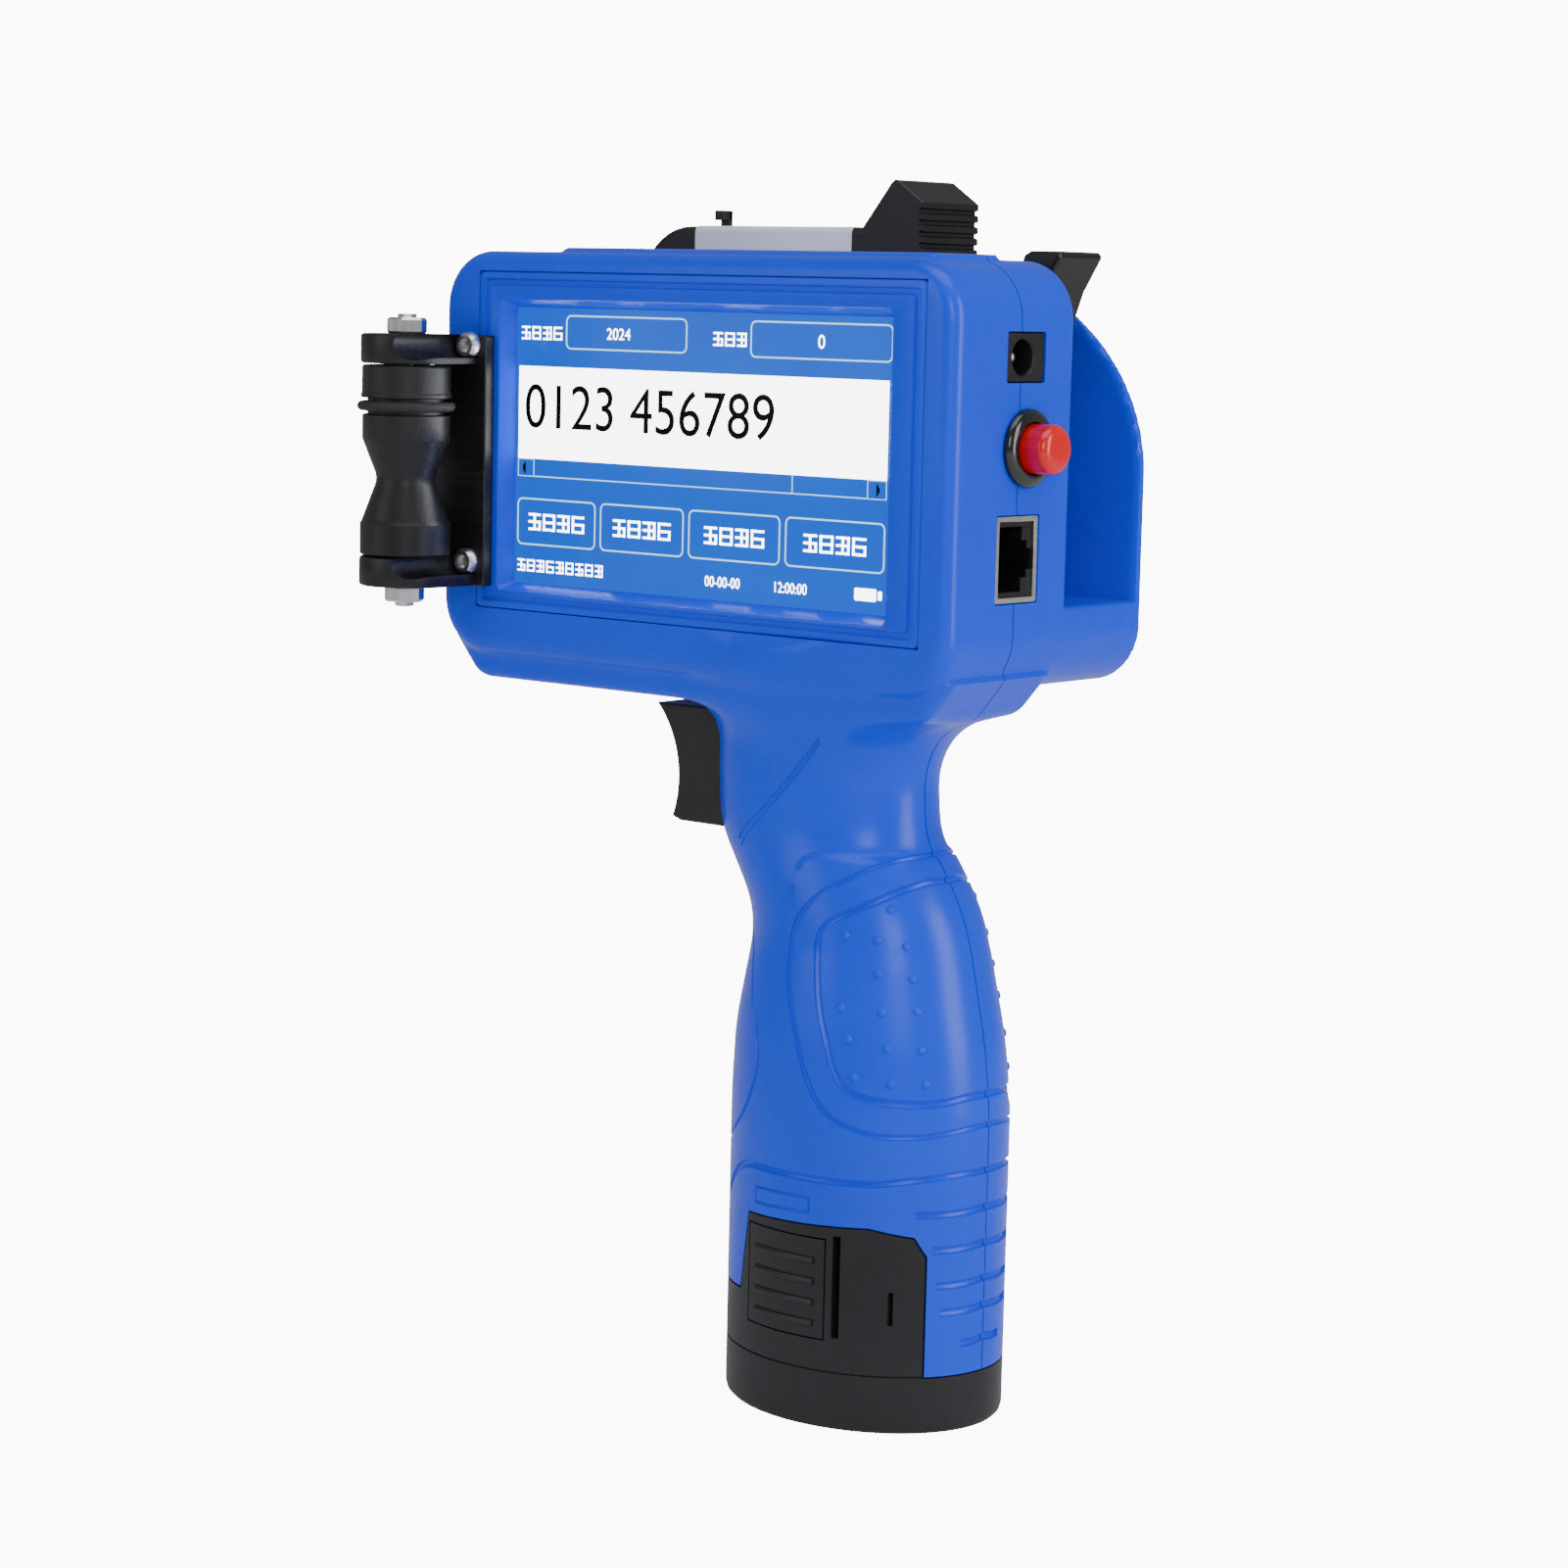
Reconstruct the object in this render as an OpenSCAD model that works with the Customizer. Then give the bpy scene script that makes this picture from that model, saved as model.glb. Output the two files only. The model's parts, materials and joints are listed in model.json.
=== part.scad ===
// Hand-held date code inkjet printer: a screen box on a pistol grip, with a lift-out ink cartridge
// behind the screen, a guide roller at the print end and a battery pack that slides into the grip.
// Origin: centre of the flat foot. +Z up, -Y screen side, -X print end, +Y cartridge side.

/* [Main box] */
// Length of the box, print end to rear end
box_l = 128.5; // [124:0.5:156]
// Height of the box
box_h = 79.5; // [78:0.5:96]
// Depth from the screen face to the wall in front of the cartridge bay
box_d = 36.6; // [35:0.1:46]
// Depth from the screen face to the joint between the shells
front_d = 20; // [19.5:0.5:24]
// Height of the box's underside above the foot
box_z = 138.5; // [134:0.5:168]
// Distance from the grip's axis to the print end
print_reach = 98; // [92:0.5:104]
// Wall of the housing
wall = 2.4; // [2:0.1:3]
// Corner radius of the box's outline
corner_r = 11; // [9:0.5:13]
// Rounding along the edge of the screen face
edge_r = 3.6; // [2:0.2:4]
// Depth of the belly under the box
belly_h = 5; // [3:0.5:6]

/* [Cartridge bay] */
// Depth of the bay, back wall to the outer side of the fin
bay_d = 24.4; // [24:0.1:30]
// Height of the bay's ledge above the box's underside
ledge_h = 15.8; // [12:0.2:20]
// Thickness of the fin
fin_t = 2.2; // [2:0.1:3]
// Thickness of the print plate
plate_t = 1.5; // [1:0.1:2]

/* [Screen] */
// Lit width of the screen
lit_w = 95.04; // [90:0.1:96]
// Lit height of the screen
lit_h = 53.86; // [50:0.1:55]
// Distance from the print end to the centre of the lit area
lit_x = 65.2; // [64:0.1:68]
// Distance from the box's top to the centre of the lit area
lit_drop = 37.85; // [37:0.1:40]
// Width of the bezel
bezel_w = 111.5; // [110:0.5:113]
// Height of the bezel
bezel_h = 66; // [64:0.5:67]
// Depth of the glass below the face
recess = 3.5; // [3:0.1:4]

/* [Grip] */
// Half length of the grip's oval at the foot
grip_a = 28.5; // [27:0.5:34.5]
// Half width of the grip's oval at the foot
grip_b = 23.5; // [20:0.5:28.5]
// Height of the black foot
foot_h = 11; // [9:0.5:14]

/* [Battery] */
// Diameter of one cell
cell_d = 18.4; // [16:0.1:18.6]
// Length of one cell
cell_l = 65; // [50:0.5:66]
// Wall of the battery tube
tube_t = 1.2; // [1:0.1:1.5]

/* [Guide roller] */
// Largest radius of the roller
roller_r = 8.9; // [8:0.1:10]
// Waist radius of the roller
waist_r = 5.8; // [5.5:0.1:7]
// Diameter of the axle
axle_d = 4; // [3:0.5:4]
// Distance from the face to the axle
axle_out = 13; // [12:0.5:15]
// Distance from the print end to the axle
axle_in = 3.5; // [3:0.5:5]
// Height of the gap that holds the roller
fork_gap = 37.7; // [34:0.1:40]

/* [Controls] */
// Width of the trigger
trigger_w = 21; // [18:0.5:24]
// Travel of the trigger
trigger_stroke = 4.5; // [3:0.5:4.5]
// Diameter of the power button's cap
cap_d = 9.2; // [8:0.1:11]
// Travel of the power button
power_stroke = 2.5; // [1:0.5:2.5]

/* [Clearances] */
// Gap round pieces that slide or drop into a seat
gap = 0.3; // [0.2:0.05:0.4]
// Radial clearance of a shaft in its hole
slip = 0.05; // [0.02:0.01:0.1]

/* [Hidden] */

BLUE = [0.10, 0.30, 0.85];
BLACK = [0.12, 0.12, 0.13];
STEEL = [0.75, 0.76, 0.78];

// Ends and faces of the box
x_print = -print_reach;
x_rear = box_l - print_reach;
y_face = -front_d;
y_back = box_d - front_d;
y_fin = y_back + bay_d;
z_top = box_z + box_h;
z_ledge = box_z + ledge_h;
y_fin_in = y_fin - fin_t;

// Screen
lit_cx = x_print + lit_x;
lit_cz = z_top - lit_drop;
bezel_cx = lit_cx + 1.05;
bezel_cz = lit_cz + 0.85;
glass_y = y_face + recess;
glass_t = 1.1;
lcd_t = 3;
lcd_w = 104;
lcd_h = 66.5;
lcd_cx = lit_cx + 0.9;
flange = 1.2;
board_y = y_face + 11.6;
board_t = 1.6;
chip_t = 1.4;
board_w = 118;
board_h = 58.8;
board_cx = bezel_cx - 1.4;
board_cz = bezel_cz - 1.6;
lug_dx = 56.15;
LUG_DZ = [-27.9, 25];

// Screws that join the shells: place, and whether the head lies deep under the bay
screw_d = 2.5;
head_d = 4.6;
head_h = 2;
column_d = 6.6;
head_seat = 8;
shell_screw_reach = 9;
corner_in = 5.6;
SHELL_SCREWS = [[x_print + corner_in, z_top - corner_in - 0.4], [x_rear - corner_in,
    z_top - corner_in - 0.4],
    [x_print + corner_in, box_z + corner_in - 0.3], [x_rear - corner_in, box_z + corner_in - 0.3],
    [-grip_a + 5.1, 62], [grip_a - 5.1, 62], [4, box_z - 22.5]];

// Stations of the grip: height, centre, half length, half width
GRIP = [[0, 0, grip_a, grip_b], [60, 0, grip_a, grip_b], [box_z - 66, -0.5, grip_a - 0.9, grip_b - 1],
    [box_z - 53.5, -0.7, grip_a - 3.5, grip_b - 2.7], [box_z - 48.5, -0.7, grip_a - 4.5, grip_b - 3.6],
    [box_z - 42, -2.6, grip_a - 5.1, grip_b - 4.5], [box_z - 35.5, -6.9, grip_a - 4.9, grip_b - 5.5],
    [box_z - 28.5, -11.6, grip_a - 5.1, grip_b - 6.3], [box_z - 17.5, -12.4, grip_a - 5.1, grip_b - 6.5],
    [box_z - 10, -12, grip_a - 3.8, grip_b - 6.3], [box_z - 4.5, -12, grip_a + 2, grip_b - 5.5],
    [box_z + 1, -12, grip_a + 10.5, grip_b - 4]];

// Power button, jack and data port in the rear end
jack_y = 1.65;
jack_w = 11.3;
jack_h = 9;
jack_z = z_top - 17.5;
jack_l = 14;
power_y = 2.5;
power_z = z_top - 34;
port_y = 0.65;
port_w = 12.7;
port_h = 16;
port_z = z_top - 54.25;
port_l = 15;
port_wall = 0.5;
bush_d = 12;
ring_d = 14.5;
ring_h = 2;
bush_l = 12;
nut_t = 2.2;
cap_out = 7.6;
stem_d = 5;
spring_t = 0.6;

// Bay and cartridge
cart_y1 = y_fin_in - 0.6;
cart_t = 17.6;
cart_y0 = cart_y1 - cart_t;
cart_z0 = z_ledge + 1.4;
cart_h = 68.3;
cart_z1 = cart_z0 + cart_h;
cart_x0 = x_print + 16;
cart_l = 73;
cart_x1 = cart_x0 + cart_l;
cart_r = 13;
cart_wall = 1.6;
snout_h = 27;
snout_t = 12.6;
snout_y0 = (cart_y0 + cart_y1 - snout_t) / 2;
snout_x0 = x_print + plate_t + 1;
nozzle_t = 0.5;
contact_t = 1.6;

// Latch lever
latch_px = cart_x1 + 6;
latch_pz = z_ledge + 7.7;
latch_top = z_top + 2;
latch_w = 14;
latch_y0 = (cart_y0 + cart_y1 - latch_w) / 2;
latch_r = 4;
pin_d = 3;
lean = 0.38;

// Guide roller
axle_x = x_print + axle_in;
axle_y = y_face - axle_out;
fork_z1 = z_top - 22.3;
fork_z0 = fork_z1 - fork_gap;
fork_t = 5.8;
bracket_t = 2.5;
bracket_x1 = x_print + 14.8;
nose_r = roller_r + 0.1;
bearing_d = 8;
bearing_t = 3;
nut_af = 7;
nut_h = 3.2;
magnet_t = 2;
bracket_screw_x = x_print + 10.8;
BRACKET_SCREW_Z = [fork_z1 + 3.8, fork_z0 - 1];
bracket_screw_d = 3;

// Trigger
trig_z1 = box_z - 6.8;
trig_h = 22.7;
trig_z0 = trig_z1 - trig_h;
trig_tip = -52;
trig_back = -27;
slot_y = trigger_w / 2 + gap;
trig_lip = 1.6;
lip_t = 2;
lip_x = -22.6;
spring_room = 8.1;
rib_x = lip_x - 1 + lip_t + trigger_stroke + spring_room;
rib_t = 2;
trig_spring_d = 5;
trig_spring_z = trig_z0 + 17;
switch_l = 6.4;
switch_h = 12.8;
switch_w = 5.8;

// Battery
panel_top = 38.2;
panel_gap = gap;
tube_x = cell_d + tube_t + gap / 2;
tube_y = cell_d / 2 + tube_t + gap;
floor_t = 3;
tube_z0 = foot_h - 3;
cell_z0 = tube_z0 + 2;
tube_z1 = cell_z0 + cell_l + 3;
blade_h = 4;
block_h = 6;
button_x0 = -10.9;
button_x1 = 8;
button_z0 = 17.5;
button_z1 = 36.4;
button_base = grip_b - 6;

// ---- helpers -------------------------------------------------------------

module xz(y0, y1) translate([0, y1, 0]) rotate([90, 0, 0]) linear_extrude(y1 - y0) children();
module yz(x0, x1) translate([x0, 0, 0]) rotate([90, 0, 90]) linear_extrude(x1 - x0) children();
module xy(z0, z1) translate([0, 0, z0]) linear_extrude(z1 - z0) children();
module block(a, b) translate(a) cube(b - a);
module rod_x(x0, x1, y, z, d) translate([x0, y, z]) rotate([0, 90, 0]) cylinder(h = x1 - x0, d = d,
    $fn = 48);
module rod_y(x, y0, y1, z, d, fn = 48) translate([x, y1, z]) rotate([90, 0,
    0]) cylinder(h = y1 - y0, d = d, $fn = fn);
module rod_z(x, y, z0, z1, d) translate([x, y, z0]) cylinder(h = z1 - z0, d = d, $fn = 48);

// A rectangle with round corners
module round_rect(x0, y0, x1, y1, r) {
    translate([x0 + r, y0]) square([x1 - x0 - 2 * r, y1 - y0]);
    translate([x0, y0 + r]) square([x1 - x0, y1 - y0 - 2 * r]);
    for (x = [x0 + r, x1 - r], y = [y0 + r, y1 - r]) translate([x, y]) circle(r = r, $fn = 48);
}

// The grip's oval as a polygon
module oval(a, b) polygon([for (i = [0:47]) [a * cos(i * 7.5), b * sin(i * 7.5)]]);

// The grip as a stack of ovals, drawn in by "inset"
module grip_body(inset) {
    for (i = [0:len(GRIP) - 2]) hull() for (s = [GRIP[i], GRIP[i + 1]])
        translate([s[1], 0, s[0]]) linear_extrude(0.01) oval(s[2] - inset, s[3] - inset);
}

// The box's outline, drawn in by "inset"
module box_outline(inset) round_rect(x_print + inset, box_z + inset, x_rear - inset, z_top - inset,
    corner_r - inset);

// Side view of everything that belongs to the battery pack, grown by "grow"
module pack_outline(grow) polygon([[-40, -1], [40, -1], [40, foot_h + grow], [24 + grow, foot_h + grow],
    [24 + grow, panel_top - 4], [22.5 + grow, panel_top - 0.5 + grow],
    [16, panel_top + 1 + grow], [button_x0 - 0.7 - grow, panel_top + grow],
    [button_x0 - 0.7 - grow, panel_top / 2 + 4 + grow], [-40, panel_top / 2 + 3.4 + grow]]);

// ---- housing -------------------------------------------------------------

module belly_outline(inset) polygon([[x_print + 3.6 + inset, box_z + 1], [x_print + 8.6 + inset,
    box_z - belly_h + inset],
    [x_rear - 8.5 - inset, box_z - belly_h + inset], [x_rear - 4 - inset, box_z + 1]]);

// Outer form of both shells together
module housing_solid() {
    hull() {
        xz(y_face, y_face + 0.01) box_outline(edge_r);
        xz(y_face + edge_r * 0.3, y_face + edge_r) box_outline(edge_r * 0.3);
        xz(y_face + edge_r, y_face + edge_r + 1) box_outline(0);
    }
    xz(y_face + edge_r, y_back) box_outline(0);
    xz(y_face + 3, y_back - 2) belly_outline(0);
    difference() {
        xz(y_back - 1, y_fin) box_outline(0);
        block([x_print - 1, y_back - 2, z_ledge], [x_rear + 1, y_fin + 1, z_top + 1]);
    }
    grip_body(0);
}

// Room inside both shells
module housing_room() {
    xz(y_face + wall, y_back - wall) box_outline(wall);
    difference() {
        xz(y_back - wall - 1, y_fin - wall) box_outline(wall);
        block([x_print - 1, y_back - wall - 2, z_ledge - wall], [x_rear + 1, y_fin + 1, z_top + 1]);
    }
    grip_body(wall);
}

// Everything cut out of either shell
module housing_cuts() {
    // window for the bezel
    xz(y_face - 1, y_face + wall + 0.1) square_at(bezel_cx, bezel_cz, bezel_w + gap, bezel_h + gap);
    for (z = BRACKET_SCREW_Z) rod_y(bracket_screw_x, y_face - 1, y_face + wall + 1, z,
        bracket_screw_d + 0.4);
    // sockets in the rear end
    block([x_rear - wall - 1, jack_y - jack_w / 2 - gap / 2, jack_z - jack_h / 2 - gap / 2],
        [x_rear + 1, jack_y + jack_w / 2 + gap / 2, jack_z + jack_h / 2 + gap / 2]);
    block([x_rear - wall - 1, port_y - port_w / 2 - gap / 2, port_z - port_h / 2 - gap / 2],
        [x_rear + 1, port_y + port_w / 2 + gap / 2, port_z + port_h / 2 + gap / 2]);
    rod_x(x_rear - wall - 1, x_rear + 1, power_y, power_z, bush_d + gap);
    // trigger slot, and the way under the belly
    block([trig_tip - 1, -slot_y, trig_z0 - gap], [trig_back + 10, slot_y, trig_z1 + gap]);
    // seat of the battery pack
    xz(-40, 40) pack_outline(panel_gap);
    // print plate seat
    block([x_print - 1, y_back - 13, z_ledge - 12], [x_print + plate_t, y_fin + 1, z_top + 1]);
}

module square_at(cx, cz, w, h) translate([cx - w / 2, cz - h / 2]) square([w, h]);

// Columns and ribs inside the front shell
module front_inside() {
    intersection() {
        union() {
            for (s = SHELL_SCREWS) rod_y(s[0], y_face + recess + 0.4, 0, s[1], column_d, 24);
            block([rib_x, y_face, trig_z0 - 2], [rib_x + rib_t, 0, box_z - 4]);
        }
        housing_solid();
    }
}

module rear_inside() {
    intersection() {
        union() {
            for (s = SHELL_SCREWS) rod_y(s[0], 0, y_fin, s[1], column_d, 24);
            block([rib_x, 0, trig_z0 - 2], [rib_x + rib_t, 20, box_z - 4]);
            // seat for the print plate's screws
            block([x_print + plate_t, y_back - 13, z_ledge - 9], [x_print + plate_t + 6,
                y_back - 1, z_ledge - 2]);
            block([x_print + plate_t, y_back - 13, z_top - 14], [x_print + plate_t + 6, y_back - 1,
                z_top - 6]);
        }
        housing_solid();
    }
}

module shell_screw_holes() for (s = SHELL_SCREWS) {
    rod_y(s[0], -shell_screw_reach - 1, head_seat + 1, s[1], screw_d + 4 * slip, 24);
    rod_y(s[0], head_seat, y_fin + 1, s[1], head_d + gap, 24);
}

module front_shell() color(BLUE) difference() {
    union() {
        difference() {
            intersection() {
                housing_solid();
                block([x_print - 5, y_face - 10, -1], [x_rear + 20, 0, z_top + 5]);
            }
            housing_room();
        }
        front_inside();
    }
    housing_cuts();
    shell_screw_holes();
}

// Fin outline: flat top, a long sweep down to the rear end
module fin_outline() difference() {
    box_outline(0);
    difference() {
        translate([x_rear - 45, z_top - 36]) square([50, 40]);
        translate([x_rear - 50, z_top - 40]) scale([50 / 40, 1]) circle(r = 40, $fn = 64);
        translate([x_rear - 70, z_top - 80]) square([30, 90]);
    }
}

module rear_shell() color(BLUE) difference() {
    union() {
        difference() {
            intersection() {
                housing_solid();
                block([x_print - 5, 0, -1], [x_rear + 20, y_fin + 1, z_top + 5]);
            }
            housing_room();
        }
        rear_inside();
        // fin, and the post that takes the print plate
        xz(y_fin_in, y_fin) fin_outline();
        block([x_print + plate_t, y_fin_in - 2.3, z_ledge - 1], [x_print + plate_t + 11,
            y_fin_in + 0.5, z_top - 8]);
    }
    housing_cuts();
    shell_screw_holes();
    for (p = PLATE_SCREWS) rod_x(x_print, x_print + plate_t + 5.6, p[0], p[1], plate_screw_d + 2 * slip);
    // contact board's seat, latch pin's ends
    block([contact_x0 - gap, contact_y0 - gap, z_ledge - contact_t + 0.3], [contact_x1 + gap,
        contact_y1 + gap, z_ledge + 1]);
    rod_y(latch_px, y_back - 1.4, y_fin_in + 1.2, latch_pz, pin_d + 2 * slip);
    // screw holes of the locating clip
    for (z = CLIP_SCREW_Z) rod_y(clip_x, y_fin_in - 1, y_fin + 1, z, 2);
}

module shell_screws() color(STEEL) for (s = SHELL_SCREWS) difference() {
    union() {
        rod_y(s[0], -shell_screw_reach, head_seat, s[1], screw_d);
        rod_y(s[0], head_seat, head_seat + head_h, s[1], head_d);
    }
    translate([s[0], head_seat + head_h + 0.01, s[1]]) rotate([90, 0, 0]) cylinder(h = 1.2,
        d = 2.4, $fn = 6);
}

// ---- screen --------------------------------------------------------------

module screen_bezel() color(BLUE) difference() {
    union() {
        xz(y_face, glass_y - 0.1) square_at(bezel_cx, bezel_cz, bezel_w, bezel_h);
        xz(y_face + wall + 0.1, glass_y - 0.1) intersection() {
            square_at(bezel_cx, bezel_cz, bezel_w + 2 * flange, bezel_h + 2 * flange);
            box_outline(wall + gap);
        }
        for (x = [-lug_dx, lug_dx], z = LUG_DZ)
            rod_y(bezel_cx + x, y_face + wall + 0.2, board_y, bezel_cz + z, 5.2);
        for (z = BRACKET_SCREW_Z) rod_y(bracket_screw_x, y_face + wall + 0.2, y_face + 9, z, 6);
    }
    // window with sloping sides
    hull() {
        xz(y_face - 0.01, y_face) square_at(lit_cx, lit_cz, lit_w + 5, lit_h + 4.5);
        xz(glass_y - 1.2, glass_y - 1.19) square_at(lit_cx, lit_cz, lit_w + 0.4, lit_h + 0.4);
    }
    xz(y_face, glass_y + 1) square_at(lit_cx, lit_cz, lit_w + 0.4, lit_h + 0.4);
    for (x = [-lug_dx, lug_dx], z = LUG_DZ)
        rod_y(bezel_cx + x, board_y - 5, board_y + 1, bezel_cz + z, 2 + 2 * slip);
    for (z = BRACKET_SCREW_Z) rod_y(bracket_screw_x, y_face - 1, y_face + 7.5, z,
        bracket_screw_d + 2 * slip);
    // the glass and the module seat between the lugs
    xz(glass_y - 0.05, board_y) square_at(lcd_cx, lit_cz, lcd_w + gap, lcd_h + gap);
}

module touch_glass() color([0.05, 0.45, 0.95])
    xz(glass_y, glass_y + glass_t) square_at(lcd_cx, lit_cz, lcd_w, lcd_h);

module lcd_module() color(STEEL)
    xz(glass_y + glass_t, glass_y + glass_t + lcd_t) square_at(lcd_cx, lit_cz, lcd_w, lcd_h);

module lcd_ribbon() color([0.75, 0.45, 0.1]) {
    lcd_back = glass_y + glass_t + lcd_t;
    block([lit_cx - 20, lcd_back, lit_cz - 28], [lit_cx + 20, lcd_back + 0.3, lit_cz - 18]);
    block([lit_cx - 20, lcd_back, lit_cz - 18.3], [lit_cx + 20, board_y, lit_cz - 18]);
    block([lit_cx - 22, board_y - 1.2, lit_cz - 22], [lit_cx + 22, board_y, lit_cz - 18]);
}

module main_board() color([0.05, 0.35, 0.15]) difference() {
    xz(board_y, board_y + board_t) square_at(board_cx, board_cz, board_w, board_h);
    for (x = [-lug_dx, lug_dx], z = LUG_DZ)
        rod_y(bezel_cx + x, board_y - 1, board_y + board_t + 1, bezel_cz + z, 2.4);
    for (s = SHELL_SCREWS) rod_y(s[0], board_y - 1, board_y + board_t + 1, s[1], column_d + 2 * gap);
}

// Chips on the board: place from the lit centre, size
CHIPS = [[-20, 5, 14, 14], [2, 8, 10, 8], [2, -6, 10, 8], [-42, 10, 8, 8], [-42, -12, 12, 6], [22,
    -14, 9, 9],
    [-18, -16, 6, 6]];

module board_chips() color(BLACK) for (c = CHIPS)
    xz(board_y + board_t, board_y + board_t + chip_t) square_at(lit_cx + c[0], lit_cz + c[1], c[2], c[3]);

module board_screws() color(STEEL) for (x = [-lug_dx, lug_dx], z = LUG_DZ) {
    rod_y(bezel_cx + x, board_y - 4.5, board_y + board_t, bezel_cz + z, 2);
    rod_y(bezel_cx + x, board_y + board_t, board_y + board_t + 1.3, bezel_cz + z, 3.8);
}

// ---- rear end sockets ------------------------------------------------------

module dc_jack() color(BLACK) difference() {
    block([x_rear - gap - jack_l, jack_y - jack_w / 2, jack_z - jack_h / 2],
        [x_rear - gap, jack_y + jack_w / 2, jack_z + jack_h / 2]);
    rod_x(x_rear - gap - jack_l + 2, x_rear + 1, jack_y - 0.6, jack_z, 6.5);
    rod_x(x_rear - gap - jack_l - 1, x_rear, jack_y - 0.6, jack_z, 2 + 2 * slip);
}

module dc_jack_pin() color(STEEL) {
    rod_x(x_rear - gap - jack_l, x_rear - 2.5, jack_y - 0.6, jack_z, 2);
    translate([x_rear - 2.5, jack_y - 0.6, jack_z]) sphere(d = 2, $fn = 32);
}

module power_bushing() color(BLACK) difference() {
    union() {
        translate([x_rear, power_y, power_z]) rotate([0, 90, 0]) rotate_extrude($fn = 64)
            polygon([[0, 0], [ring_d / 2, 0], [ring_d / 2, ring_h * 0.4], [ring_d / 2 - 0.7,
                ring_h * 0.85],
                [ring_d / 2 - 1.6, ring_h], [0, ring_h]]);
        rod_x(x_rear - bush_l, x_rear, power_y, power_z, bush_d);
    }
    rod_x(x_rear - bush_l + 2, x_rear + ring_h + 1, power_y, power_z, cap_d + gap);
    rod_x(x_rear - bush_l - 1, x_rear, power_y, power_z, stem_d + gap);
}

module power_nut() color(STEEL) translate([x_rear - wall - nut_t, power_y, power_z]) rotate([0, 90,
    0]) difference() {
    cylinder(h = nut_t, d = 17, $fn = 6);
    translate([0, 0, -1]) cylinder(h = nut_t + 2, d = bush_d + 2 * slip, $fn = 64);
}

module power_switch_body() color(BLACK) block([x_rear - bush_l - 9, power_y - 5, power_z - 5],
    [x_rear - bush_l - 0.02, power_y + 5, power_z + 5]);

module power_cap() color([0.9, 0.02, 0.04]) {
    rod_x(x_rear - bush_l + 8, x_rear + cap_out - 1.2, power_y, power_z, cap_d);
    translate([x_rear + cap_out - 1.2, power_y, power_z]) rotate([0, 90, 0])
        cylinder(h = 1.2, d1 = cap_d, d2 = cap_d - 1.8, $fn = 64);
    rod_x(x_rear - bush_l + power_stroke + 0.6, x_rear - bush_l + 8, power_y, power_z, stem_d);
}

module power_spring() color(STEEL) difference() {
    rod_x(x_rear - bush_l + 2.1, x_rear - bush_l + 7.9, power_y, power_z, stem_d + gap + 2 * spring_t);
    rod_x(x_rear - bush_l + 1, x_rear - bush_l + 9, power_y, power_z, stem_d + gap);
}

port_x = x_rear - 0.2;

module data_port_shell() color(STEEL) difference() {
    block([port_x - port_l, port_y - port_w / 2, port_z - port_h / 2],
        [port_x, port_y + port_w / 2, port_z + port_h / 2]);
    block([port_x - port_l + port_wall, port_y - port_w / 2 + port_wall, port_z - port_h / 2 + port_wall],
        [port_x + 1, port_y + port_w / 2 - port_wall, port_z + port_h / 2 - port_wall]);
}

module data_port_insert() color(BLACK) difference() {
    block([port_x - port_l + port_wall, port_y - port_w / 2 + port_wall, port_z - port_h / 2 + port_wall],
        [port_x - 0.5, port_y + port_w / 2 - port_wall, port_z + port_h / 2 - port_wall]);
    // plug cavity with the two steps of its tongue side
    block([port_x - port_l + 3, port_y - 4.9, port_z - 6], [port_x, port_y + 2.2, port_z + 6]);
    block([port_x - port_l + 3, port_y + 2.1, port_z - 3.4], [port_x, port_y + 3.8, port_z + 3.4]);
    block([port_x - port_l + 3, port_y + 3.7, port_z - 1.9], [port_x, port_y + 5.1, port_z + 1.9]);
}

module data_port_contacts() color([0.85, 0.65, 0.25]) for (i = [0:7])
    block([port_x - port_l + 3, port_y - 4.9, port_z - 3.8 + i * 1.02],
        [port_x - port_l + 10, port_y - 4.4, port_z - 3.35 + i * 1.02]);

// ---- print end -------------------------------------------------------------

plate_screw_d = 2.2;
PLATE_SCREWS = [[y_back - 9, z_ledge - 5.6], [y_back - 9, z_top - 10], [y_fin_in - 0.6, z_ledge + 6],
    [y_fin_in - 0.6, z_top - 20]];

module print_plate() color(STEEL) difference() {
    intersection() {
        block([x_print, y_back - 13 + gap, z_ledge - 12 + gap], [x_print + plate_t, y_fin, z_top - 4]);
        xz(y_face, y_fin) box_outline(0);
    }
    block([x_print - 1, snout_y0 + 2, cart_z0 + 6], [x_print + plate_t + 1, snout_y0 + snout_t - 2,
        cart_z0 + 22]);
    for (p = PLATE_SCREWS) rod_x(x_print - 1, x_print + plate_t + 1, p[0], p[1], plate_screw_d + 0.3);
}

module print_plate_screws() color(STEEL) for (p = PLATE_SCREWS) {
    rod_x(x_print, x_print + plate_t + 5, p[0], p[1], plate_screw_d);
    rod_x(x_print - 1.2, x_print, p[0], p[1], 4);
}

contact_x0 = x_print + 20;
contact_x1 = contact_x0 + 22;
contact_y0 = cart_y0 + 1.5;
contact_y1 = cart_y1 - 1.5;

module contact_board() color([0.05, 0.35, 0.15])
    block([contact_x0, contact_y0, z_ledge - contact_t + 0.3], [contact_x1, contact_y1, z_ledge + 0.3]);

module contact_pins() color([0.85, 0.65, 0.25]) for (i = [0:7], j = [0:3])
    rod_z(contact_x0 + 2.2 + i * 2.5, contact_y0 + 2.5 + j * 3.2, z_ledge + 0.3, cart_z0 - gap, 0.8);

clip_x = x_print + 21;
clip_w = 2.4;
CLIP_SCREW_Z = [z_top - 12, z_top - 20];

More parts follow.
